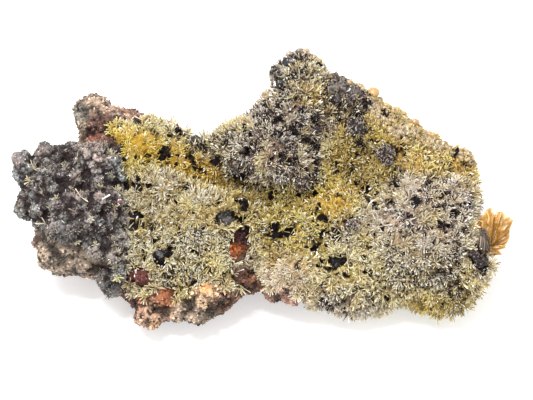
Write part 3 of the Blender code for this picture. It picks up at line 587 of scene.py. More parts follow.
# %% Finish of the rock
rock_finish, start, tint = tinted_finish("gossan_rock_finish")
specks = grain(start, 0.35, 4.0).above(0.35, 0.68)
base = specks.mix(tint, (0.9, 0.8, 0.72, 1), "SOFT_LIGHT")
crumbs = cells(start, 0.42) * -1.0 + grain(start, 0.9, 5.0) * 1.4
principled(start, base, crumbs, 0.00022, Roughness=0.9, Specular_IOR_Level=0.3)
add_piece("gossan_matrix", rock_points, [rock_faces], rock_tint, rock_finish, ["matrix"], True)

# %% [markdown]
# ## Grains on the bare rock
#
# From close by the bare rock is a crowd of tiny crystal grains that catch the light one by one.
# Bump alone can't give that broken edge, so several thousand small faceted grains are set into
# it. Each is an octahedron, stretched and turned at random. The same octahedron, with its faces
# cut in four again and again, is the ball that later cells need.

# %% A crowd of octahedra
OCTA = np.array([(1, 0, 0), (0, 1, 0), (-1, 0, 0), (0, -1, 0), (0, 0, 1), (0, 0, -1)], dtype=float)
OCTA_FACES = np.array([(0, 1, 4), (1, 2, 4), (2, 3, 4), (3, 0, 4),
                       (1, 0, 5), (2, 1, 5), (3, 2, 5), (0, 3, 5)])
LEAST_STRETCH, MOST_STRETCH = 0.6, 1.3


def random_turns(count, dice):
    """Random turns as matrices, from unit quaternions of four normal draws."""
    a, b, c, d = unit(dice.normal(size=(count, 4))).T
    return np.array([[1 - 2 * (c * c + d * d), 2 * (b * c - a * d), 2 * (b * d + a * c)],
                     [2 * (b * c + a * d), 1 - 2 * (b * b + d * d), 2 * (c * d - a * b)],
                     [2 * (b * d - a * c), 2 * (c * d + a * b), 1 - 2 * (b * b + c * c)]]).transpose(2, 0, 1)


def grains(places, radii, dice, form=(OCTA, OCTA_FACES), least=LEAST_STRETCH, most=MOST_STRETCH):
    """Many small bodies: place + turn of (corner * radius * stretch), the stretch drawn for each axis."""
    corners, sides = form
    stretch = dice.uniform(least, most, (len(places), 1, 3)) * radii[:, None, None]
    shaped = np.einsum("nij,nkj->nki", random_turns(len(places), dice), corners[None] * stretch)
    points = places[:, None] + shaped
    faces = sides[None] + len(corners) * np.arange(len(places))[:, None, None]
    return points.reshape(-1, 3), faces.reshape(-1, 3)


def for_octahedra(shades):
    """One shade for each octahedron, repeated for its six corners."""
    return np.repeat(shades, len(OCTA), axis=0)


def ball_form(levels):
    """An octahedron whose faces are cut in four `levels` times, every corner at distance one."""
    points, faces = OCTA, OCTA_FACES
    for _ in range(levels):
        middles = (points[faces] + points[np.roll(faces, -1, axis=1)]).reshape(-1, 3)
        every = unit(np.concatenate([points, middles]))
        fresh, place = np.unique(every.round(6), axis=0, return_inverse=True)
        place = place.ravel()
        a, b, c = place[faces].T
        ab, bc, ca = place[len(points):].reshape(-1, 3).T
        faces = np.concatenate([np.stack(corners, axis=1)
                                for corners in ((a, ab, ca), (ab, b, bc), (ca, bc, c), (ab, bc, ca))])
        points = unit(fresh)
    return points, faces


# %% Strewing the grains
GRAINS = 11000
dice = np.random.default_rng(3)
crowd = 0.3 + seen_side[bare, 0]
chosen = dice.choice(bare, GRAINS, p=crowd / crowd.sum())
sizes = dice.uniform(0.16, 0.55, GRAINS)
places = rock_points[chosen] + rock_normals[chosen] * (sizes * dice.uniform(-0.5, 0.3, GRAINS))[:, None]
places[:, 2] = np.maximum(places[:, 2], sizes * MOST_STRETCH)
grain_points, grain_faces = grains(places, sizes, dice)
shade = np.clip(dice.normal(1.2, 0.8, GRAINS), 0.1, 3.2)[:, None]
grain_tint = for_octahedra(np.clip(rock_tint[chosen] * shade, 0, 0.9))
grain_finish, start, tint = tinted_finish("rock_grain_finish")
principled(start, tint, Roughness=0.55, Specular_IOR_Level=0.5)
add_piece("gossan_grains", grain_points, [grain_faces], grain_tint, grain_finish)

# %% [markdown]
# ## The dark mass
#
# The balls at the left are botryoidal manganese oxide: grapes of 3 to 6 mm whose own skin is again
# made of tiny beads. The solid already has the grapes. Averaging rounds them, and cell noise of
# three sizes raises the beads. How high a point stands over the mean of its surroundings tells the
# crests from the clefts: over a narrow ring it finds the beads, over a wide one the mounds. Crests
# and mounds are painted lighter, as painted highlight, and patches of pale dust lie on the crests.
# The hollows between them are painted darker as painted shade and turn maroon, and two places under
# the mass are painted darker still, as painted shade.

# %% Beads on the balls
mass_points = averaged(mass_points, mass_faces, 3)
mass_normals = normals_of(mass_points, mass_faces)
mass_points = mass_points + mass_normals * swell(mass_points)[:, None]
knobs = lumps(mass_points, 2.7, 10)
beads = lumps(mass_points, 1.0, 11)
small_beads = lumps(mass_points, 0.5, 12)
mass_points = mass_points + mass_normals * (0.9 * (knobs - 0.8) + 0.4 * (beads - 0.5)
                                            + 0.24 * (small_beads - 0.4))[:, None]
mass_u, mass_v, mass_w = to_face(mass_points)


def standing_out(rounds):
    """How far each point of the mass stands over the mean of its surroundings, along its normal."""
    return ((mass_points - averaged(mass_points, mass_faces, rounds)) * mass_normals).sum(axis=1)


NARROW, WIDE = 60, 260             # rounds of averaging
# painted shade: the colour is darkened under the mass's lower edge and on its lowest lumps
UNDER_MASS_SHADE = (
    # u, v, half length, half width, share of the light that is lost
    (-46.0, 22.0, 10.0, 3.0, 0.6), (-35.8, 12.0, 5.0, 5.0, 0.5),
)
crest = np.clip(0.5 + standing_out(NARROW) / 0.9, 0, 1)
broad = standing_out(WIDE)
mound = np.clip(0.5 + (broad - np.median(broad)) / 2.4, 0, 0.85)
unshaded = 1 - sum(lost * np.exp(-((mass_u - su) / long) ** 2 - ((mass_v - sv) / wide) ** 2)
                   for su, sv, long, wide, lost in UNDER_MASS_SHADE)
print("mounds of the mass from", broad.min().round(2), "to", broad.max().round(2), "mm")

# %% Colours and finish of the dark mass
# painted light in this table: the patches in the middle and right clefts, under the lower edge and on the
# lowest lumps are darkened as painted shade, and the slate patch at the right is lightened as painted light
# on its crests
DARK_PATCHES = (
    # name, u, v, half length, half width, turn, colour
    ("dusted_dome", -40.6, 41.0, 4.0, 3.0, 0, (126, 110, 104)),
    ("left_tips", -57.0, 36.0, 3.0, 6.0, 0, (58, 60, 62)),
    ("top_left", -50.0, 41.0, 5.0, 3.0, 0, (66, 60, 60)),
    ("slate_upper", -44.0, 38.0, 5.0, 2.6, 0, (66, 68, 69)),
    ("slate_right_lit", -35.0, 37.5, 3.2, 4.0, 0, (74, 79, 81)),
    ("brown_middle_shaded", -47.0, 34.4, 8.0, 2.6, 0, (48, 38, 39)),
    ("slate_left", -55.0, 29.4, 4.0, 3.0, 0, (54, 59, 61)),
    ("brown_band", -44.0, 30.0, 7.0, 3.0, 0, (72, 62, 62)),
    ("maroon_cleft_shaded", -37.0, 30.0, 4.5, 3.0, 0, (46, 28, 31)),
    ("lower_lumps", -45.0, 24.4, 8.0, 3.2, 0, (58, 54, 55)),
    ("under_lumps", -47.5, 22.2, 8.0, 2.2, 0, (26, 22, 24)),
    ("lower_right", -36.0, 23.0, 4.0, 4.0, 0, (62, 64, 67)),
    ("dusty_skirt", -38.0, 17.6, 5.0, 2.6, 0, (84, 76, 72)),
    ("low_lumps", -35.6, 10.8, 4.0, 3.4, 0, (27, 24, 26)),
)
SLATE, PALE_DUST_AND_HIGHLIGHT, MAROON = colour(72, 74, 72), colour(138, 122, 114), colour(44, 22, 25)
slate = np.clip(0.4 + 1.6 * roll(mass_points, 2.2, 15), 0, 0.7)[:, None]
mass_tint = blend(patch_values(mass_u, mass_v, DARK_PATCHES, COLOUR), SLATE, slate)
# painted shade and highlight: darker in the clefts and between the beads, lighter on the crests
mass_tint *= (0.02 + 2.7 * crest ** 3.1)[:, None] * (0.08 + 0.6 * beads + 1.0 * small_beads)[:, None]
mass_tint *= (1 + 0.4 * roll(mass_points, 1.6, 13) + 0.45 * roll(mass_points, 4.0, 16))[:, None]
# pale dust in patches, weighted to the crests, where it is also a painted highlight
dust_and_crest_light = np.clip(0.1 + 1.5 * roll(mass_points, 3.0, 14), 0, 1) * crest ** 2 * 0.6
mass_tint = blend(mass_tint, PALE_DUST_AND_HIGHLIGHT, dust_and_crest_light[:, None]) * unshaded[:, None]
# painted shade and highlight on the wide mounds: lighter on them, darker and mixed with maroon in the low
# places between
mass_tint = mass_tint * (0.3 + 1.2 * mound)[:, None] + MAROON * (0.7 - 0.7 * mound)[:, None]
oxide_finish, start, tint = tinted_finish("dark_oxide_finish")
dust = grain(start, 0.25, 3.0).above(0.45, 0.75)
base = (dust * 0.12).mix(tint, (0.5, 0.44, 0.4, 1), "SCREEN")
nap = cells(start, 0.22) * -1.0 + grain(start, 0.5, 4.0)
principled(start, base, nap, 0.00012, Roughness=0.78, Specular_IOR_Level=0.35)
add_piece("dark_mass", mass_points, [mass_faces], mass_tint, oxide_finish, ["botryoidal_mass"],
          True)

# %% Dust on the dark mass
def dust_shades(count, share, first, second, black, dice):
    """A draw for each grain: the first colour under its share, the second to one half, black above."""
    kind = dice.uniform(0, 1, count)[:, None]
    return np.where(kind < share, colour(*first), np.where(kind < 0.5, colour(*second), colour(*black)))


DUST = 9000
dice = np.random.default_rng(5)
open_side = np.flatnonzero(mass_w > girth(mass_v) - 4.0)
chosen = dice.choice(open_side, DUST)
sizes = dice.uniform(0.1, 0.24, DUST)
dust_points, dust_faces = grains(mass_points[chosen], sizes, dice)
dust_tint = dust_shades(DUST, 0.26, (124, 126, 120), (176, 158, 146), (12, 8, 11), dice)
# painted shade and highlight: the dust grains are darker in the clefts, low places and under the mass, and
# lighter on the crests and mounds
height_light = (0.05 + 1.5 * crest[chosen] ** 2.4) * (0.25 + 1.2 * mound[chosen])
dust_tint = dust_tint * (unshaded[chosen] * height_light)[:, None] * dice.uniform(0.5, 1.6, (DUST, 1))
add_piece("oxide_dust", dust_points, [dust_faces], for_octahedra(dust_tint), grain_finish)

# %% [markdown]
# ## Balls and domes among the needles
#
# Smaller balls of the same oxide stand on the peak and between the tufts. A skin of each solid,
# rounded and beaded like the mass, keeps them where the solids are. Single grapes, too small for a
# solid, peep out of the crust beside them. Pale, brown and black dust lies on all of them.

# %% Skins of the small balls
DARK_NODES = ("peak_botryoids", "dark_dome_saddle", "dark_dome_upper", "dark_dome_right",
              "dark_dome_brow", "dark_dome_lower", "dark_dome_slope")
BALL_COLOURS = {"peak_botryoids": (74, 79, 80), "dark_dome_saddle": (74, 76, 76),
                "dark_dome_upper": (46, 38, 41), "dark_dome_right": (58, 44, 45),
                "dark_dome_brow": (48, 34, 35), "dark_dome_lower": (92, 76, 68),
                "dark_dome_slope": (92, 82, 75)}
BALL_SWELL = {"dark_dome_slope": 0.7, "dark_dome_upper": 0.05, "dark_dome_right": -0.05,
              "dark_dome_lower": -0.9}
BALL_SKINS = []
ball_points, ball_faces, ball_tint = [], [], []
for node in DARK_NODES:
    points, faces = skin_of(node, OXIDE_VOXEL)
    points = averaged(points, faces, 4)
    bead = lumps(points, 0.7, 21)
    lift = BALL_SWELL.get(node, 0.0) + 1.3 * (lumps(points, 1.7, 23) - 0.75) + 0.5 * (bead - 0.6)
    points = points + normals_of(points, faces) * (lift + 0.7 * roll(points, 1.5, 22))[:, None]
    BALL_SKINS.append((points, faces))
    ball_faces.append(faces + sum(len(part) for part in ball_points))
    ball_points.append(points)
    # painted shade and highlight: each ball is darker between its beads and lighter on them
    ball_tint.append(colour(*BALL_COLOURS[node]) * (0.3 + 1.1 * bead * lumps(points, 1.6, 23))[:, None])
ball_points = np.concatenate(ball_points)
add_piece("dark_balls", ball_points, ball_faces, np.concatenate(ball_tint), oxide_finish,
          DARK_NODES, True)

# %% Grapes that stand on the crust
GRAPES = (
    # u, v, radius, colour
    (2.9, 61.6, 1.4, (88, 94, 94)), (4.2, 60.3, 1.3, (64, 68, 72)), (5.1, 58.4, 1.4, (48, 52, 56)),
    (6.5, 63.6, 1.5, (62, 64, 67)), (3.9, 57.4, 0.8, (52, 48, 52)), (8.2, 66.7, 1.2, (100, 102, 96)),
    (7.2, 62.0, 0.8, (60, 60, 64)), (16.6, 56.6, 1.9, (112, 103, 96)), (19.2, 57.0, 2.0, (114, 104, 98)),
    (21.8, 56.4, 1.8, (104, 94, 88)), (24.0, 55.2, 1.2, (72, 62, 62)), (17.8, 54.9, 1.2, (62, 54, 54)),
    (20.8, 54.8, 1.2, (88, 78, 74)), (-11.4, 47.6, 0.9, (128, 124, 118)), (-6.0, 38.0, 1.0, (60, 52, 54)),
    (12.6, 47.8, 1.0, (50, 40, 44)), (23.4, 47.4, 1.4, (44, 36, 40)), (25.8, 53.4, 1.0, (50, 42, 46)),
)
dice = np.random.default_rng(41)
soft_normals = unit(averaged(rock_normals, rock_faces, 12))
front_side = np.flatnonzero(soft_normals @ OUTWARD > 0.0)
round_form, round_faces = ball_form(3)
grape_points, grape_faces, grape_tint = [], [], []
for gu, gv, radius, shade in GRAPES:
    under = front_side[np.argmin(np.hypot(rock_u[front_side] - gu, rock_v[front_side] - gv))]
    middle = rock_smooth[under] + (0.3 * soft_normals[under] + 0.7 * OUTWARD) * (1.2 + 0.35 * radius)
    ball = middle + round_form * radius
    bead = lumps(ball, 0.8, 24)
    ball = ball + round_form * (0.3 * (bead - 0.5) + 0.15 * roll(ball, 1.1, 25))[:, None]
    grape_faces.append(round_faces + len(round_form) * len(grape_points))
    grape_points.append(ball)
    # painted shade and highlight: darker between the beads of each grape, lighter on them
    grape_tint.append(colour(*shade) * (0.1 + 1.35 * bead ** 1.6)[:, None])
grape_points = np.concatenate(grape_points)
grape_normals = np.tile(round_form, (len(GRAPES), 1))
add_piece("oxide_grapes", grape_points, grape_faces, np.concatenate(grape_tint), oxide_finish,
          (), True)

# %% Dust on the balls and grapes
BALL_DUST = 2400
every_ball = np.concatenate([ball_points, grape_points])
ball_normals = np.concatenate([normals_of(points, faces) for points, faces in BALL_SKINS] + [grape_normals])
dice = np.random.default_rng(43)
chosen = dice.choice(np.flatnonzero(ball_normals @ OUTWARD > -0.2), BALL_DUST)
dust_tint = dust_shades(BALL_DUST, 0.3, (170, 156, 142), (124, 98, 88), (10, 7, 9), dice)
dust_tint = dust_tint * dice.uniform(0.4, 1.5, (BALL_DUST, 1))
dust_points, dust_faces = grains(every_ball[chosen], dice.uniform(0.12, 0.32, BALL_DUST), dice)
add_piece("ball_dust", dust_points, [dust_faces], for_octahedra(dust_tint), grain_finish)

# %% [markdown]
# ## The bed of the crust
#
# Between the needles one looks down on their common bed, golden where they are clean. Its colour
# is darker between its small lumps as painted shade, black in spots of oxide, black in the gaps as
# the dark oxide deepened by painted shade, and black under the dark balls as painted shade. The bed
# is a thin closed plate on the rock's skin: the part of the skin that the crust covers, lifted along
# its normals, with walls round its rim.

# %% The bed
flat_balls = np.stack(to_face(np.concatenate([ball_points, grape_points])), axis=1) * [1, 1, 0]


def over_dark(u, v, reach):
    """Whether places on the face lie over one of the dark balls, or closer to it than about `reach`."""
    return near(np.stack([u, v, np.zeros(len(u))], axis=1), flat_balls, reach)


def plate_on(points, normals, faces, chosen, over, under):
    """The chosen patch of a skin as a closed plate: point + normal * height, for over and for under."""
    patch = faces[chosen[faces].all(axis=1)]
    used, patch = np.unique(patch, return_inverse=True)
    patch = patch.reshape(-1, 4)
    steps = np.concatenate([patch[:, [k, (k + 1) % 4]] for k in range(4)])
    forward, backward = steps @ [len(points), 1], steps @ [1, len(points)]
    rim = steps[~np.isin(forward, backward)]
    walls = np.stack([rim[:, 1], rim[:, 0], rim[:, 0] + len(used), rim[:, 1] + len(used)], axis=1)
    top = points[used] + normals[used] * over[used][:, None]
    bottom = points[used] + normals[used] * under
    plate = np.concatenate([patch, patch[:, ::-1] + len(used), walls])
    return np.concatenate([top, bottom]), plate, used


BED_TOP, BED_BOTTOM = 1.15, -2.0
BLACK = colour(16, 11, 13)
edge = averaged(under_crust[:, None].astype(float), rock_faces, 5)[:, 0]
edge = np.sqrt(np.clip(edge * 2 - 1, 0, 1))
depth = gap_depth(rock_u, rock_v)
hollow = np.maximum(np.clip(depth * 4, 0, 1), over_dark(rock_u, rock_v, 0.3))
stubs = lumps(rock_smooth, 1.2, 31)
bed_over = -0.5 + edge * (BED_TOP + 0.3 + 0.7 * (stubs - 0.5)) - 1.3 * hollow
bed_points, bed_faces, bed_used = plate_on(rock_smooth, soft_normals, rock_faces, under_crust & ~on_foot,
                                           bed_over, BED_BOTTOM)
bed_points[:, 2] = np.maximum(bed_points[:, 2], 0.05)
dust_here = patch_values(rock_u, rock_v, NEEDLE_PATCHES, DUSTED)[:, 0]
peppered = np.clip(dust_here * (1 + 2.2 * roll(rock_smooth, 3.0, 41)) + 0.02, 0, 0.9)
# painted shade: the bed is darker between its small lumps and lighter on their tops
bed_tint = patch_values(rock_u, rock_v, NEEDLE_PATCHES, ROOT) * (0.35 + 0.6 * stubs)[:, None]
dark_share = np.clip(6 * (roll(rock_smooth, 0.9, 32) - 0.45 + peppered), 0, 1)
# black in spots of oxide, more where the needles are dusted; in the gaps the dark oxide deepened by painted
# shade, and under the dark balls painted shade
bed_tint = blend(bed_tint, BLACK, np.maximum(dark_share, hollow)[:, None])[bed_used]
bed_finish, start, tint = tinted_finish("crust_bed_finish")
principled(start, tint, cells(start, 0.4) * -1.0, 0.0002, Roughness=0.7, Specular_IOR_Level=0.12)
add_piece("crust_bed", bed_points, [bed_faces], np.concatenate([bed_tint, bed_tint]), bed_finish,
          ["mimetite_crust"])

# %% [markdown]
# ## Needles
#
# Mimetite needles grow outward from a common root, so a tuft is a small burst. Tens of thousands of
# separate objects would be slow, and particles would be lost on export, so all needles of a region
# are one mesh made from arrays. A needle has three flat sides and a point: seven corners, ten
# triangles. Flat sides matter, because each one flashes or stays dark as a whole. The tufts keep
# off the gaps and the dark balls. Of the needles that would still reach over one, a gap loses
# nearly all and a ball one in two. Short stubble covers the bed between the tufts.

# %% Many needles in one mesh
def needles(roots, aims, lengths, radii, dice, sides=3, shoulder=0.9):
    """A ring at the root, a wider ring at the shoulder and a point: root + aim * length."""
    count = len(roots)
    side = unit(np.cross(aims, unit(dice.normal(size=(count, 3)))))
    other = np.cross(aims, side)
    angles = 2 * math.pi * np.arange(sides) / sides
    ring = side[:, None] * np.cos(angles)[:, None] + other[:, None] * np.sin(angles)[:, None]
    ring = ring * radii[:, None, None]
    low = roots[:, None] + ring * 0.8
    high = (roots + aims * (lengths * shoulder)[:, None])[:, None] + ring
    tip = (roots + aims * lengths[:, None])[:, None]
    points = np.concatenate([low, high, tip], axis=1)
    k = np.arange(sides)
    after = (k + 1) % sides
    base = k[::-1][None]
    walls = np.stack([k, after, after + sides, k + sides], axis=1)
    point = np.stack([k + sides, after + sides, np.full(sides, 2 * sides)], axis=1)
    start = (np.arange(count) * (2 * sides + 1))[:, None, None]
    faces = [(part[None] + start).reshape(-1, part.shape[1]) for part in (base, walls, point)]
    return points.reshape(-1, 3), faces


def needle_tints(root_shade, tip_shade, sides=3):
    """Tints of each needle's corners: the root's, 0.3 of it plus 0.7 of the tip's, and the tip's; a darker
    root is painted shade.
    """
    high = root_shade * 0.3 + tip_shade * 0.7
    parts = [np.repeat(shade[:, None], times, axis=1)
             for shade, times in ((root_shade, sides), (high, sides), (tip_shade, 1))]
    return np.concatenate(parts, axis=1).reshape(-1, 3)


# %% Where the tufts stand
def spaced(places, gap, dice):
    """Indices of places in random order, keeping each that is farther than the gap from those kept."""
    kept = []
    for index in dice.permutation(len(places)):
        if not kept or (((places[kept] - places[index]) ** 2).sum(axis=1) > gap ** 2).all():
            kept.append(index)
    return np.array(kept)


TUFT_GAP = 1.5                     # least distance between the middles of two tufts
MOST_TRIED = 16000
FAN_FOOT_U, FAN_FOOT_V = 50.0, (15.4, 29.6)     # no tuft stands right of this u between these v
dice = np.random.default_rng(8)
field = np.flatnonzero(under_crust & ~on_foot & (edge > 0.2) & (depth <= 0))
field = field[~over_dark(rock_u[field], rock_v[field], 0.2)]
at_fan = (rock_u >= FAN_FOOT_U) & (rock_v >= FAN_FOOT_V[0]) & (rock_v <= FAN_FOOT_V[1])
field = field[~at_fan[field]]
on_slope = slope_share(rock_u[field], rock_v[field]) >= 0.45
field = field[~on_slope | (dice.uniform(0, 1, len(field)) < 0.12)]
field = dice.choice(field, min(len(field), MOST_TRIED), replace=False)
field = field[spaced(rock_smooth[field], TUFT_GAP, dice)]
tuft_u, tuft_v = rock_u[field], rock_v[field]
tuft_size = patch_values(tuft_u, tuft_v, NEEDLE_PATCHES, LENGTH)[:, 0] * dice.uniform(0.7, 1.3, len(field))
tuft_size *= 1 + 0.4 * np.clip(1 - np.abs(soft_normals[field] @ OUTWARD) / 0.6, 0, 1)
tuft_axis = unit(soft_normals[field] + 0.4 * dice.normal(size=(len(field), 3)))
print(len(field), "tufts")

# %% Filling the tufts with needles
TUFT_NEEDLES, LEAST_NEEDLES = 44, 10
TUFT_OPENING = math.radians(76)    # the widest angle between a needle and the tuft's axis
REACH = (1.2, 2.1)
TUFT_ROOT = 0.75                   # how high over the rock the needles of a tuft meet
ASKEW = np.array([0.31, 0.84, 0.44])            # any direction that no axis follows
OVER_GAP, OVER_BALL, OVER_ROCK = 0.06, 0.5, 0.15         # shares kept where a needle reaches over it
GOLD_TIP, GOLD_ROOT = colour(234, 204, 104), colour(182, 144, 48)
tuft_place = rock_smooth[field]
tuft_thick = patch_values(tuft_u, tuft_v, NEEDLE_PATCHES, THICKNESS)[:, 0]
dust_share = peppered[field]
tuft_size *= 1 - 0.25 * dust_share
warmth = (0.5 * np.clip(0.5 + 1.4 * roll(tuft_place, 4.0, 42), 0, 1) * (1 - dust_share))[:, None]
tuft_tip = blend(patch_values(tuft_u, tuft_v, NEEDLE_PATCHES, TIP), GOLD_TIP, warmth)
tuft_root = blend(patch_values(tuft_u, tuft_v, NEEDLE_PATCHES, ROOT), GOLD_ROOT, warmth)
per_tuft = np.maximum(LEAST_NEEDLES, (TUFT_NEEDLES * tuft_size ** 1.5 / tuft_thick ** 1.5).astype(int))
owner = np.repeat(np.arange(len(field)), per_tuft)
count = len(owner)
swing = np.arccos(1 - (1 - math.cos(TUFT_OPENING)) * dice.uniform(0, 1, count))
spin = dice.uniform(0, 2 * math.pi, count)
axis = tuft_axis[owner]
side = unit(np.cross(axis, ASKEW))
other = np.cross(axis, side)
aims = (axis * np.cos(swing)[:, None] + side * (np.sin(swing) * np.cos(spin))[:, None]
        + other * (np.sin(swing) * np.sin(spin))[:, None])
lengths = dice.uniform(*REACH, count) * tuft_size[owner]
roots = tuft_place[owner] + axis * TUFT_ROOT + aims * 0.2 + 0.26 * dice.normal(size=(count, 3))
radii = dice.uniform(0.08, 0.14, count) * tuft_thick[owner]
tuft_bright = np.clip(dice.normal(1.05, 0.18, len(field)), 0.6, 1.5)[owner][:, None]
pepper_near = np.clip(dust_share[owner] / 0.1, 0, 1)
needle_bright = np.clip(1.1 + (0.2 + 0.13 * pepper_near) * dice.normal(size=count), 0.35, 2.0)[:, None]
dusted = (dice.uniform(0, 1, count) < dust_share[owner])[:, None]
# painted highlight: a share of the needles, larger where the crust is peppered, is painted near white as
# glints
pale = (dice.uniform(0, 1, count) < 0.05 + 0.11 * pepper_near)[:, None]
tip_shade = np.clip(tuft_tip[owner] * tuft_bright * needle_bright, 0, BRIGHTEST)
tip_shade = np.where(pale, colour(250, 248, 238), tip_shade)
tip_shade = np.where(dusted, colour(86, 64, 62) * needle_bright, tip_shade)
# painted shade: the roots are darker than the tips, down among the needles
root_shade = np.where(dusted, colour(30, 18, 20), tuft_root[owner] * 0.95)
tip_u, tip_v, _ = to_face(roots + aims * lengths[:, None])
mid_u, mid_v, _ = to_face(roots + aims * (0.6 * lengths)[:, None])
shut = (gap_depth(tip_u, tip_v) > 0.15) | (gap_depth(mid_u, mid_v) > 0.1)
covering = over_dark(tip_u, tip_v, 0.3)
open_rock = bareness(tip_u, tip_v) > 0.2
kept = ~shut | (dice.uniform(0, 1, count) < OVER_GAP)
kept &= ~covering | (dice.uniform(0, 1, count) < OVER_BALL)
kept &= ~open_rock | (dice.uniform(0, 1, count) < OVER_ROCK)
print(int(kept.sum()), "needles kept of", count)

# %% Needle finish and pieces
needle_finish, start, tint = tinted_finish("needle_finish")
streak = grain(start, 0.3, 2.0).above(0.3, 0.7)
base = (streak * 0.25).mix(tint, (1.0, 0.98, 0.9, 1), "SOFT_LIGHT")
principled(start, base, Roughness=0.22, IOR=2.0)
LEFT_U, RIGHT_U, PEAK_V, MOUND_V = -9.0, 25.0, 33.0, 24.0       # where one region meets the next
between = (tuft_u >= LEFT_U) & (tuft_u < RIGHT_U)
REGIONS = (
    ("needles_left", tuft_u < LEFT_U),
    ("needles_peak", between & (tuft_v >= PEAK_V)),
    ("needles_middle", between & (tuft_v < PEAK_V)),
    ("needles_mound", (tuft_u >= RIGHT_U) & (tuft_v >= MOUND_V)),
    ("needles_rim", (tuft_u >= RIGHT_U) & (tuft_v < MOUND_V)),
)
for name, tufts in REGIONS:
    mine = tufts[owner] & kept
    points, faces = needles(roots[mine], aims[mine], lengths[mine], radii[mine], dice)
    add_piece(name, points, faces, needle_tints(root_shade[mine], tip_shade[mine]), needle_finish,
              ["mimetite_crust"])

# %% Stubble between the tufts
STUBBLE = 12500
dice = np.random.default_rng(10)
ground = np.flatnonzero(under_crust & ~on_foot & (edge > 0.3) & (depth < -0.02) & (hollow < 0.1))
ground = ground[slope_share(rock_u[ground], rock_v[ground]) < 0.5]
chosen = dice.choice(ground, STUBBLE)
here = rock_u[chosen], rock_v[chosen], NEEDLE_PATCHES
aims = unit(soft_normals[chosen] + 0.55 * dice.normal(size=(STUBBLE, 3)))
roots = rock_smooth[chosen] + soft_normals[chosen] * bed_over[chosen][:, None] - aims * 0.1
lengths = dice.uniform(0.5, 1.15, STUBBLE)
radii = dice.uniform(0.06, 0.11, STUBBLE)
dusted = dice.uniform(0, 1, STUBBLE) < peppered[chosen]
bright = np.clip(dice.normal(0.95, 0.3, STUBBLE), 0.3, 1.8)[:, None]
tip_shade = np.clip(patch_values(*here, TIP) * bright, 0, BRIGHTEST)
tip_shade = np.where(dusted[:, None], colour(70, 52, 52) * bright, tip_shade)
# painted shade: the stubble's roots are darker than its tips
root_shade = np.where(dusted[:, None], colour(24, 15, 17), patch_values(*here, ROOT) * 0.8)
points, faces = needles(roots, aims, lengths, radii, dice)
add_piece("stubble", points, faces, needle_tints(root_shade, tip_shade), needle_finish,
          ["mimetite_crust"])

# %% [markdown]
# ## Dark flakes in the crust
#
# Between and on the needles sit small black flakes of oxide. They make the crust look peppered. A
# crowd of dark octahedra gives them: thick in the gaps, thinly spread where the needles are
# dusted, and gathered on the needle tips in clusters that have a place in a table.

# %% Flakes
CLUSTERS = (
    # u, v, radius, flakes
    (29.2, 49.8, 1.6, 50), (24.0, 53.0, 1.4, 50), (46.0, 40.4, 1.2, 24), (23.6, 44.0, 1.6, 50),
    (-24.0, 42.2, 1.1, 40), (-20.8, 47.2, 1.2, 40), (33.0, 33.6, 1.4, 40), (42.4, 24.0, 1.2, 36),
    (27.6, 28.0, 1.4, 36), (36.4, 30.0, 1.2, 36), (11.0, 39.6, 1.4, 40), (-19.0, 32.6, 0.9, 26),
    (1.7, 52.6, 1.2, 34), (4.9, 52.4, 1.0, 26), (9.0, 51.6, 1.1, 30), (-0.4, 49.8, 1.1, 30),
    (3.0, 45.2, 1.3, 40), (6.6, 46.6, 1.1, 30), (9.2, 45.0, 1.2, 34), (-3.6, 46.2, 1.1, 30),
    (11.4, 50.4, 0.9, 22), (13.4, 62.4, 1.0, 26),
)
dice = np.random.default_rng(12)
GAP_FLAKES, DUST_FLAKES = 1200, 3200
gap_places = np.flatnonzero((depth > 0) & (edge > 0))
crust_places = np.flatnonzero((edge > 0.6) & under_crust & (soft_normals @ OUTWARD > 0.3))
flaky = peppered[crust_places] ** 1.4
gathered = []
for cu, cv, radius, number in CLUSTERS:
    far = np.hypot(rock_u[crust_places] - cu, rock_v[crust_places] - cv)
    closest = np.argsort(far)[:int(9 * radius ** 2)]
    gathered.append(dice.choice(crust_places[closest], number))
gathered = np.concatenate(gathered)
chosen = np.concatenate([dice.choice(gap_places, GAP_FLAKES),
                         dice.choice(crust_places, DUST_FLAKES, p=flaky / flaky.sum()), gathered])
lift = np.concatenate([dice.uniform(-0.4, 1.2, GAP_FLAKES), dice.uniform(0.9, 2.1, DUST_FLAKES),
                       dice.uniform(1.6, 2.4, len(gathered))])
sizes = np.concatenate([dice.uniform(0.25, 0.5, GAP_FLAKES), dice.uniform(0.14, 0.36, DUST_FLAKES),
                        dice.uniform(0.2, 0.42, len(gathered))])
flake_places = rock_smooth[chosen] + soft_normals[chosen] * lift[:, None]
flake_places += 0.2 * dice.normal(size=flake_places.shape)
flake_places[:, 2] = np.maximum(flake_places[:, 2], sizes * MOST_STRETCH)
flake_points, flake_faces = grains(flake_places, sizes, dice)
flake_tint = colour(24, 17, 20) * dice.uniform(0.4, 2.2, (len(chosen), 1))
flake_finish, start, tint = tinted_finish("black_flake_finish")
principled(start, tint, Roughness=0.6, Specular_IOR_Level=0.15)
add_piece("oxide_flakes", flake_points, [flake_faces], for_octahedra(flake_tint), flake_finish)

# %% [markdown]
# ## Glints
#
# Here and there a stout crystal is painted near white all over, as a painted highlight for a
# crystal that catches the light whole. They are short hexagonal prisms set among the needle tips.

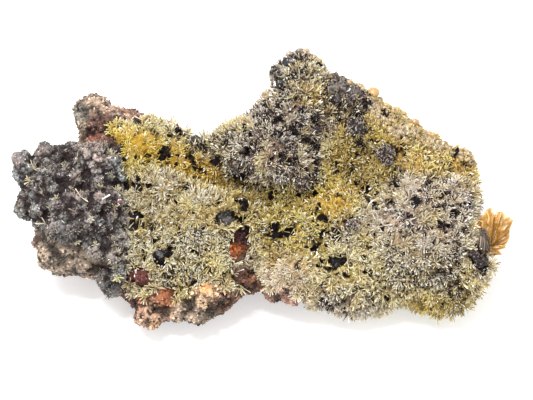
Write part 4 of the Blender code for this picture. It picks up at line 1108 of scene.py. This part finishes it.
# %% Stout crystals painted white as glints
GLINTS = 480
dice = np.random.default_rng(14)
chosen = dice.choice(np.flatnonzero((edge > 0.6) & under_crust & (depth < 0)), GLINTS)
aims = unit(soft_normals[chosen] + 0.8 * dice.normal(size=(GLINTS, 3)))
roots = rock_smooth[chosen] + soft_normals[chosen] * dice.uniform(1.2, 1.8, GLINTS)[:, None]
lengths = dice.uniform(0.45, 1.0, GLINTS)
radii = dice.uniform(0.12, 0.23, GLINTS)
glint_points, glint_faces = needles(roots, aims, lengths, radii, dice, sides=6, shoulder=0.8)
# painted highlight: the glint crystals are painted near white
glint_shade = colour(252, 250, 244) * dice.uniform(0.7, 1.0, (GLINTS, 1))
add_piece("painted_glint_crystals", glint_points, glint_faces, needle_tints(glint_shade * 0.8, glint_shade, 6),
          needle_finish)

# %% [markdown]
# ## Needles on the dark parts
#
# Needles grow on the dark parts too. Small stars, a few long needles and one blade, painted near
# white as a painted highlight, have a place in a table, and more stars stand at random on the right
# side of the mass. Short whiskers are strewn over the mass, the balls and the grapes.

# %% Stray needles
STARS = (
    # u, v, needles, length, thickness, colour
    (-56.4, 35.6, 16, 1.9, 1.1, (226, 210, 170)), (-54.6, 38.6, 7, 2.6, 1.0, (232, 220, 184)),
    (-47.2, 39.0, 9, 1.8, 0.8, (206, 196, 164)), (-45.0, 40.4, 5, 2.4, 0.8, (214, 206, 176)),
    (-42.8, 31.8, 4, 3.0, 1.0, (226, 206, 168)), (-38.4, 33.4, 12, 1.4, 0.9, (214, 204, 168)),
    (-35.0, 33.6, 8, 1.5, 0.9, (218, 208, 172)), (-52.4, 25.6, 3, 3.0, 1.8, (206, 196, 158)),
    (-49.6, 31.8, 8, 1.3, 0.8, (210, 190, 150)), (-46.0, 33.8, 7, 1.2, 0.8, (196, 176, 146)),
    (-40.2, 26.0, 8, 1.4, 0.9, (222, 212, 178)), (-38.4, 30.6, 1, 2.6, 2.4, (250, 250, 246)),
    (-44.6, 28.6, 4, 1.9, 0.8, (196, 176, 146)), (-40.0, 20.6, 8, 1.4, 0.8, (220, 212, 170)),
    (-44.0, 20.4, 7, 1.4, 0.8, (214, 206, 166)), (-34.2, 12.6, 9, 2.0, 1.3, (224, 214, 150)),
    (-51.0, 30.0, 6, 1.2, 0.8, (180, 166, 146)), (-53.0, 32.4, 6, 1.3, 0.8, (190, 176, 150)),
)
# painted highlight: the white blade is a needle painted near white
BLADE_AIM = (0.86, 0.42, 0.3)      # the star of a single needle is the white blade
SIDE_STARS, SIDE_NEEDLES = 34, 12
MASS_WHISKERS, BALL_WHISKERS, GRAPE_WHISKERS = 2400, 1400, 420
dice = np.random.default_rng(31)
grown = []                         # roots, aims, lengths, radii and shades of one group after another
for su, sv, number, long, thick, shade in STARS:
    under = np.flatnonzero((np.hypot(mass_u - su, mass_v - sv) < 0.7) & (mass_w > girth(mass_v) - 1.0))
    top = under[np.argmax(mass_w[under])]
    aims = unit(mass_normals[top] + 0.9 * dice.normal(size=(number, 3)))
    aims = np.where((aims @ mass_normals[top])[:, None] < 0.1, aims + mass_normals[top] * 0.8, aims)
    if number == 1:
        aims = np.array([BLADE_AIM])
    grown.append((np.tile(mass_points[top], (number, 1)), unit(aims), long * dice.uniform(0.7, 1.1, number),
                  0.11 * thick * dice.uniform(0.8, 1.2, number), np.tile(colour(*shade), (number, 1))))
mass_side = np.flatnonzero((mass_u > -36.8) & (mass_w > girth(mass_v) + 0.5) & (mass_v > 14))
for top in dice.choice(mass_side, SIDE_STARS):
    grown.append((np.tile(mass_points[top], (SIDE_NEEDLES, 1)),
                  unit(mass_normals[top] + 0.8 * dice.normal(size=(SIDE_NEEDLES, 3))),
                  dice.uniform(0.9, 1.9, SIDE_NEEDLES), dice.uniform(0.07, 0.12, SIDE_NEEDLES),
                  colour(216, 204, 170) * dice.uniform(0.35, 1.1, (SIDE_NEEDLES, 1))))
print(len(grown), "stars on the dark mass")
mass_at = dice.choice(open_side, MASS_WHISKERS, p=crest[open_side] / crest[open_side].sum())
ball_at = np.concatenate([dice.choice(len(ball_points), BALL_WHISKERS),
                          len(ball_points) + dice.choice(len(grape_points), GRAPE_WHISKERS)])
roots = np.concatenate([mass_points[mass_at], every_ball[ball_at]])
aims = np.concatenate([unit(mass_normals[mass_at] + 0.8 * dice.normal(size=(len(mass_at), 3))),
                       unit(ball_normals[ball_at] + 1.1 * dice.normal(size=(len(ball_at), 3)))])
mass_long, ball_long = dice.uniform(0.4, 1.0, len(mass_at)), dice.uniform(0.5, 1.2, len(ball_at))
ball_long *= 1 + (dice.uniform(0, 1, len(ball_at)) < 0.2)
grown.append((roots, aims, np.concatenate([mass_long, ball_long]), dice.uniform(0.05, 0.09, len(roots)),
              colour(196, 180, 162) * dice.uniform(0.2, 1.4, (len(roots), 1))))
roots, aims, lengths, radii, shades = (np.concatenate(parts) for parts in zip(*grown))
points, faces = needles(roots - aims * 0.15, aims, lengths, radii, dice)
add_piece("stray_needles", points, faces, needle_tints(shades * 0.6, shades), needle_finish)

# %% [markdown]
# ## Beads along the skyline
#
# Along the skyline the crystals are not needles but short, rounded and glassy: golden knobs down
# the right slope, greyish beads on the peak and the saddle, pinkish ones on the left rim, straw
# ones at the right end. Strings of beads follow these rims, smaller grains cover the slope below,
# and a few large beads have a place in a table. Each is a small ball: the octahedron with its
# faces cut in four once.

# %% Strings of beads, grains of the slope and large beads
RIMS = (
    # beads, inward spread, smallest and largest radius, colours, then the rim as u, v points
    (110, 0.7, 0.5, 1.0, ((178, 142, 74), (168, 130, 58), (186, 152, 100), (198, 172, 126)),
     ((18.4, 59.2), (22.0, 58.4), (25.4, 56.8), (31.0, 53.6), (38.4, 49.6), (45.4, 45.0), (51.6, 39.6))),
    (110, 0.9, 0.4, 0.85, ((150, 138, 124), (176, 160, 142), (110, 106, 102), (190, 164, 148)),
     ((-0.8, 52.4), (0.6, 57.2), (2.2, 61.4), (4.2, 65.0), (8.2, 67.8), (12.4, 65.4), (14.6, 62.8),
      (17.0, 60.0))),
    (60, 1.0, 0.4, 0.8, ((190, 170, 134), (172, 154, 130), (204, 176, 110)),
     ((-13.0, 47.4), (-8.6, 49.0), (-4.0, 50.6), (-1.4, 52.2))),
    (80, 0.7, 0.35, 0.7, ((176, 136, 116), (158, 112, 94), (196, 164, 144)),
     ((-28.6, 52.6), (-24.8, 50.8), (-21.2, 49.6), (-18.4, 48.0), (-16.6, 46.6))),
    (46, 1.0, 0.4, 0.8, ((214, 190, 150), (226, 212, 190), (196, 164, 96)),
     ((51.8, 39.4), (52.6, 35.4), (52.8, 30.6))),
)
SLOPE_GRAINS = 900
BIG_BEADS = (
    # u, v, radius, colour
    (26.7, 56.7, 1.6, (184, 142, 84)), (26.2, 56.0, 0.8, (206, 190, 142)),
    (50.9, 32.4, 1.0, (188, 176, 164)), (49.8, 33.4, 0.9, (206, 192, 176)),
    (50.6, 31.0, 0.8, (178, 166, 150)), (32.7, 52.6, 0.9, (188, 156, 94)),
    (30.0, 53.9, 0.9, (184, 150, 92)), (37.5, 50.3, 1.3, (176, 138, 94)), (41.4, 47.0, 0.9, (180, 146, 84)),
    (20.8, 59.6, 0.9, (190, 148, 88)), (34.4, 51.7, 0.9, (184, 148, 88)),
    (22.2, 59.2, 0.8, (214, 186, 120)),
)
BEAD_FORM = ball_form(1)
dice = np.random.default_rng(17)
skyline = np.flatnonzero((soft_normals @ OUTWARD > -0.1) & (edge > 0))
sky_u, sky_v = rock_u[skyline], rock_v[skyline]
bead_places, bead_radii, bead_shades = [], [], []
for number, spread, small, large, colours, rim in RIMS:
    rim = np.array(rim)
    along = dice.uniform(0, len(rim) - 1, number)
    fall = np.abs(dice.normal(0, spread, number))
    bead_u = np.interp(along, np.arange(len(rim)), rim[:, 0]) + dice.normal(0, 0.4, number)
    bead_v = np.interp(along, np.arange(len(rim)), rim[:, 1]) - fall
    far = np.hypot(bead_u[:, None] - sky_u, bead_v[:, None] - sky_v)
    under = skyline[np.argmin(far, axis=1)]
    bead_radii.append(dice.uniform(small, large, number) * (1 - 0.25 * (fall > 1.5)))
    bead_places.append(rock_smooth[under] + soft_normals[under] * dice.uniform(1.1, 1.9, number)[:, None])
    light = np.array([colour(*shade) for shade in colours])
    bead_shades.append(light[dice.integers(len(colours), size=number)] * dice.uniform(0.6, 1.0, (number, 1)))
on_slope = slope_share(rock_u, rock_v) > 0.4
on_slope = np.flatnonzero(on_slope & (edge > 0.2) & (soft_normals @ OUTWARD > -0.1))
chosen = dice.choice(on_slope, SLOPE_GRAINS)
bead_places.append(rock_smooth[chosen] + soft_normals[chosen] * dice.uniform(1.0, 1.7, SLOPE_GRAINS)[:, None])
bead_radii.append(dice.uniform(0.3, 0.72, SLOPE_GRAINS))
golden = np.clip(0.5 + 1.6 * roll(rock_smooth[chosen], 2.5, 61), 0, 1)[:, None]
light = blend(colour(172, 149, 116), colour(152, 127, 66), golden)
bead_shades.append(light * dice.uniform(0.4, 1.25, (SLOPE_GRAINS, 1)))
for bu, bv, radius, shade in BIG_BEADS:
    under = skyline[np.argmin(np.hypot(sky_u - bu, sky_v - bv))]
    off = np.array([bu - rock_u[under], bv - rock_v[under]])
    off *= min(1, (1.0 + 0.8 * radius) / max(np.hypot(*off), 1e-6))
    height = rock_w[under] + 1.0 + 0.2 * radius
    bead_places.append(to_world(rock_u[under] + off[0], rock_v[under] + off[1], height)[None])
    bead_radii.append([radius])
    bead_shades.append(colour(*shade)[None])
bead_points, bead_faces = grains(np.concatenate(bead_places), np.concatenate(bead_radii), dice, BEAD_FORM,
                                 least=0.8, most=1.2)
bead_tint = np.repeat(np.concatenate(bead_shades), len(BEAD_FORM[0]), axis=0)
bead_finish, start, tint = tinted_finish("bead_finish")
cloud = grain(start, 0.5, 3.0).above(0.35, 0.7)
base = (cloud * 0.6).mix(tint, (0.9, 0.82, 0.62, 1), "SOFT_LIGHT")
principled(start, base, grain(start, 0.4, 3.0), 0.00012, Roughness=0.2, IOR=1.9)
add_piece("skyline_beads", bead_points, [bead_faces], bead_tint, bead_finish,
          ["mimetite_crust"], True)

# %% [markdown]
# ## The orange fan
#
# At the right end a sheaf of orange crystals opens like a fan of five lobes, each parallel-grown
# from a narrow root. A lobe is worked out as one closed leaf. One parameter runs along its outer
# edge, the other from root to edge, and sharp wavy ribs stand on it, painted paler along their
# crests as painted highlight. Its colour is also paler along the outer edge and darker towards the
# root.

# %% Lobes of the fan
LOBES = (
    # ribs, height out of the girth, two root points, then the outer edge as u, v points
    (4, 2.9, ((53.0, 21.4), (54.7, 19.9)),
     ((51.7, 23.8), (51.1, 25.0), (52.0, 26.6), (53.0, 27.3), (53.7, 28.3), (54.6, 29.0), (55.4, 28.3),
      (55.6, 27.0))),
    (4, 1.9, ((54.4, 20.4), (55.5, 20.1)),
     ((55.4, 26.6), (56.1, 27.7), (57.1, 28.1), (58.2, 27.6), (58.8, 26.6))),
    (4, 2.3, ((54.7, 19.9), (55.7, 19.4)),
     ((58.0, 27.0), (59.3, 26.7), (60.3, 25.9), (59.9, 24.7), (59.4, 23.5))),
    (4, 1.6, ((54.4, 19.8), (54.8, 18.5)),
     ((59.6, 24.6), (59.4, 23.0), (59.5, 21.8), (59.0, 20.6), (58.4, 19.4))),
    (3, 2.1, ((53.6, 19.6), (53.4, 17.8)),
     ((57.4, 19.9), (58.7, 19.1), (56.8, 18.6), (57.7, 17.5), (56.0, 17.4), (55.2, 16.7), (54.6, 17.2))),
)
AROUND, INWARD = 64, 34            # points along the outer edge, and from root to edge
FAN_V = 18.0                       # the fan's height starts from the girth at this v


def lobe(ribs, height, root, rim):
    """Root + t (edge - root) for t from 0 to 1, front and back a rib's height from the middle."""
    rim = np.array(rim)
    s = np.linspace(0, 1, AROUND)
    rim_u = np.interp(s * (len(rim) - 1), np.arange(len(rim)), rim[:, 0])
    rim_v = np.interp(s * (len(rim) - 1), np.arange(len(rim)), rim[:, 1])
    root_u = root[0][0] + s * (root[1][0] - root[0][0])
    root_v = root[0][1] + s * (root[1][1] - root[0][1])
    t = np.linspace(0, 1, INWARD)[:, None]
    leaf_u = root_u + t * (rim_u - root_u)
    leaf_v = root_v + t * (rim_v - root_v)
    flat = np.stack([leaf_u, leaf_v, np.full(leaf_u.shape, height)], axis=-1).reshape(-1, 3)
    wave = roll(flat, 1.1, 52).reshape(leaf_u.shape)
    phase = s * ribs + 0.45 * wave + 0.12 * np.sin(8 * t + 9 * s)
    fold = (1 - np.abs(2 * (phase % 1) - 1)) ** 1.6 * (0.65 + 0.35 * np.sin(11 * t + 5 * phase))
    across = np.sin(np.pi * np.clip(s, 0.02, 0.98)) ** 0.5
    full = (0.25 + 0.55 * np.sin(np.pi * t ** 0.8)) * across
    rise = full * (0.5 + 0.9 * fold) * np.where(t > 0.97, 0.35, 1.0) + 0.06
    middle = girth(FAN_V) + height + 0.4 * wave
    front = to_world(leaf_u, leaf_v, middle + rise)
    back = to_world(leaf_u, leaf_v, middle - 0.6 * full - 0.06)
    return front.reshape(-1, 3), back.reshape(-1, 3), fold, t + 0 * s


def closed_sheet(rows, columns):
    """Faces of a front and a back grid of the same size, and the walls that join their borders."""
    index = np.arange(rows * columns).reshape(rows, columns)
    quads = np.stack([index[:-1, :-1], index[:-1, 1:], index[1:, 1:], index[1:, :-1]], axis=-1)
    quads = quads.reshape(-1, 4)
    ring = np.concatenate([index[0, :], index[1:, -1], index[-1, -2::-1], index[-2:0:-1, 0]])
    after = np.roll(ring, -1)
    walls = np.stack([ring, after, after + rows * columns, ring + rows * columns], axis=1)
    return np.concatenate([quads[:, ::-1], quads + rows * columns, walls])


ORANGE, CREAM = colour(170, 116, 8), colour(238, 208, 150)
fan_points, fan_faces, fan_tint = [], [], []
for row in LOBES:
    front, back, fold, t = lobe(*row)
    fan_faces.append(closed_sheet(INWARD, AROUND) + sum(len(part) for part in fan_points))
    fan_points.append(np.concatenate([front, back]))
    # painted highlight: paler along the rib crests; also paler along the outer edge, and darker towards the
    # root
    crest_highlight_and_pale_edge = np.clip(fold * 2.2 - 0.9, 0, 1) * np.clip(t * 1.6, 0, 1) + 0.5 * np.clip(t * 8 - 7, 0, 1)
    shade = blend(ORANGE, CREAM, np.clip(crest_highlight_and_pale_edge, 0, 1)[..., None])
    shade = (shade * (0.6 + 0.5 * t)[..., None]).reshape(-1, 3)
    fan_tint.append(np.concatenate([shade, shade]))
fan_points = np.concatenate(fan_points)
fan_tint = np.concatenate(fan_tint) * (1 + 0.35 * roll(fan_points, 1.0, 51))[:, None]
sheaf_finish, start, tint = tinted_finish("orange_fan_finish")
veil = grain(start, 0.8, 3.0).above(0.45, 0.75)
base = (veil * 0.15).mix(tint, (0.8, 0.6, 0.3, 1))
principled(start, base, grain(start, 0.35, 3.0), 0.00015, Roughness=0.25, IOR=1.8)
add_piece("orange_fan", fan_points, fan_faces, fan_tint, sheaf_finish, ["orange_sheaf"])

# %% [markdown]
# ## Beside the fan
#
# A grey-brown bundle of needles closes to a point in front of the fan, and a dark shard of three
# blades lies below it. Brown crumbs cling to both.

# %% The grey bundle and the dark shard
FOOT_U, FOOT_V, FOOT_W = (51.5, 54.3), (18.4, 19.8), (9.0, 11.6)     # ranges of the bundle's foot
POINT_U, POINT_V, POINT_W = 52.7, 24.4, 10.4                         # where the bundle closes
BLADE_ROOTS = np.array([(52.4, 14.8, 11.6), (53.3, 15.3, 11.0), (51.7, 15.1, 11.4)])
BLADE_TIPS = np.array([(48.7, 20.0, 13.4), (50.0, 19.0, 13.0), (49.1, 18.4, 13.1)])
BLADE_RADII = (0.75, 0.6, 0.6)
BUNDLE, BUNDLE_CRUMBS, SHARD_CRUMBS = 90, 60, 170
dice = np.random.default_rng(23)
foot = to_world(dice.uniform(*FOOT_U, BUNDLE), dice.uniform(*FOOT_V, BUNDLE), dice.uniform(*FOOT_W, BUNDLE))
peak = to_world(POINT_U + dice.normal(0, 0.35, BUNDLE), POINT_V - np.abs(dice.normal(0, 0.9, BUNDLE)),
                POINT_W + dice.normal(0, 0.2, BUNDLE))
roots = np.concatenate([foot, to_world(*BLADE_ROOTS.T)])
tips = np.concatenate([peak, to_world(*BLADE_TIPS.T)])
lengths = np.linalg.norm(tips - roots, axis=1)
radii = np.concatenate([dice.uniform(0.1, 0.2, BUNDLE), BLADE_RADII])
points, faces = needles(roots, unit(tips - roots), lengths, radii, dice, sides=4, shoulder=0.62)
shades = np.concatenate([colour(140, 124, 108) * dice.uniform(0.15, 1.6, (BUNDLE, 1)),
                         np.tile(colour(30, 25, 29), (len(BLADE_ROOTS), 1))])
which = np.concatenate([dice.integers(BUNDLE, size=BUNDLE_CRUMBS),
                        BUNDLE + dice.integers(len(BLADE_ROOTS), size=SHARD_CRUMBS)])
along = np.concatenate([dice.uniform(0.45, 0.9, BUNDLE_CRUMBS), dice.uniform(0.0, 0.95, SHARD_CRUMBS)])
along = along[:, None]
spread = np.where(which < BUNDLE, 0.15, 0.5)[:, None] * (1.15 - along)
sizes = dice.uniform(0.12, 0.3, len(which))
crumb_at = blend(roots[which], tips[which], along) + spread * dice.normal(size=(len(which), 3))
crumb_points, crumb_faces = grains(crumb_at + OUTWARD * 0.3, sizes, dice)
crumb_shade = colour(78, 66, 60) * dice.uniform(0.1, 3.0, (len(which), 1))
foot_tint = np.concatenate([needle_tints(shades * 0.6, shades, 4), for_octahedra(crumb_shade)])
add_piece("fan_foot", np.concatenate([points, crumb_points]), faces + [crumb_faces + len(points)], foot_tint,
          grain_finish)

# %% [markdown]
# ## Floor, light and camera
#
# A pale floor and soft light show the specimen as a plain studio would. The main light is large and
# hangs above and behind, so the tops of the tufts are bright and the brows throw soft shadows down
# the face. A small one makes the needles sparkle, and a weak one lifts the shadows from the front.
# The camera looks square at the leaning face from far away with a long lens.

# %% The floor
bpy.ops.mesh.primitive_plane_add(size=6.0, location=(0, 0, 0))
floor = bpy.context.active_object
floor.name = "floor"
floor_finish, start = finish_named("floor_finish")
principled(start, (0.93, 0.93, 0.93, 1), Roughness=0.9, Emission_Color=(1, 1, 1, 1), Emission_Strength=0.35)
floor.data.materials.append(floor_finish)


# %% The lights
def area_light(name, place, size, power):
    """A square soft light that looks at the specimen."""
    data = bpy.data.lights.new(name, "AREA")
    data.size = size
    data.energy = power
    lamp = bpy.data.objects.new(name, data)
    lamp.location = place
    aim = -lamp.location
    lamp.rotation_euler = aim.to_track_quat("-Z", "Y").to_euler()
    bpy.context.scene.collection.objects.link(lamp)


LIGHTS = (
    # name, place and size in metres, power in watts
    ("key", (-0.2, 0.13, 0.68), 0.34, 4.8),
    ("sparkle", (-0.12, -0.06, 0.8), 0.05, 1.3),
    ("front", (0.25, -0.7, 0.6), 0.3, 1.2),
)
for light_row in LIGHTS:
    area_light(*light_row)
world = bpy.data.worlds.new("studio")
world.use_nodes = True
sky = world.node_tree.nodes["Background"].inputs
sky["Color"].default_value = (1, 1, 1, 1)
sky["Strength"].default_value = 0.85
bpy.context.scene.world = world
bpy.context.scene.view_settings.view_transform = "Standard"

# %% The camera
PIXEL = 0.242                      # mm on the face that one picture element covers
PICTURE_WIDTH = 533                # in picture elements
MIDDLE_U, MIDDLE_V = 0.85, 30.7    # the face point at the middle of the picture
LENS, SENSOR = 250.0, 36.0
camera_data = bpy.data.cameras.new("camera")
camera_data.lens = LENS
camera_data.sensor_width = SENSOR
camera = bpy.data.objects.new("camera", camera_data)
bpy.context.scene.collection.objects.link(camera)
away = PICTURE_WIDTH * PIXEL * LENS / SENSOR
target = to_world(np.array(MIDDLE_U), np.array(MIDDLE_V), np.array(girth(MIDDLE_V)))
camera.location = (target + OUTWARD * away) * MM
camera.rotation_euler = (LEAN, 0, 0)
bpy.context.scene.camera = camera

# %% The end
bpy.context.view_layer.update()
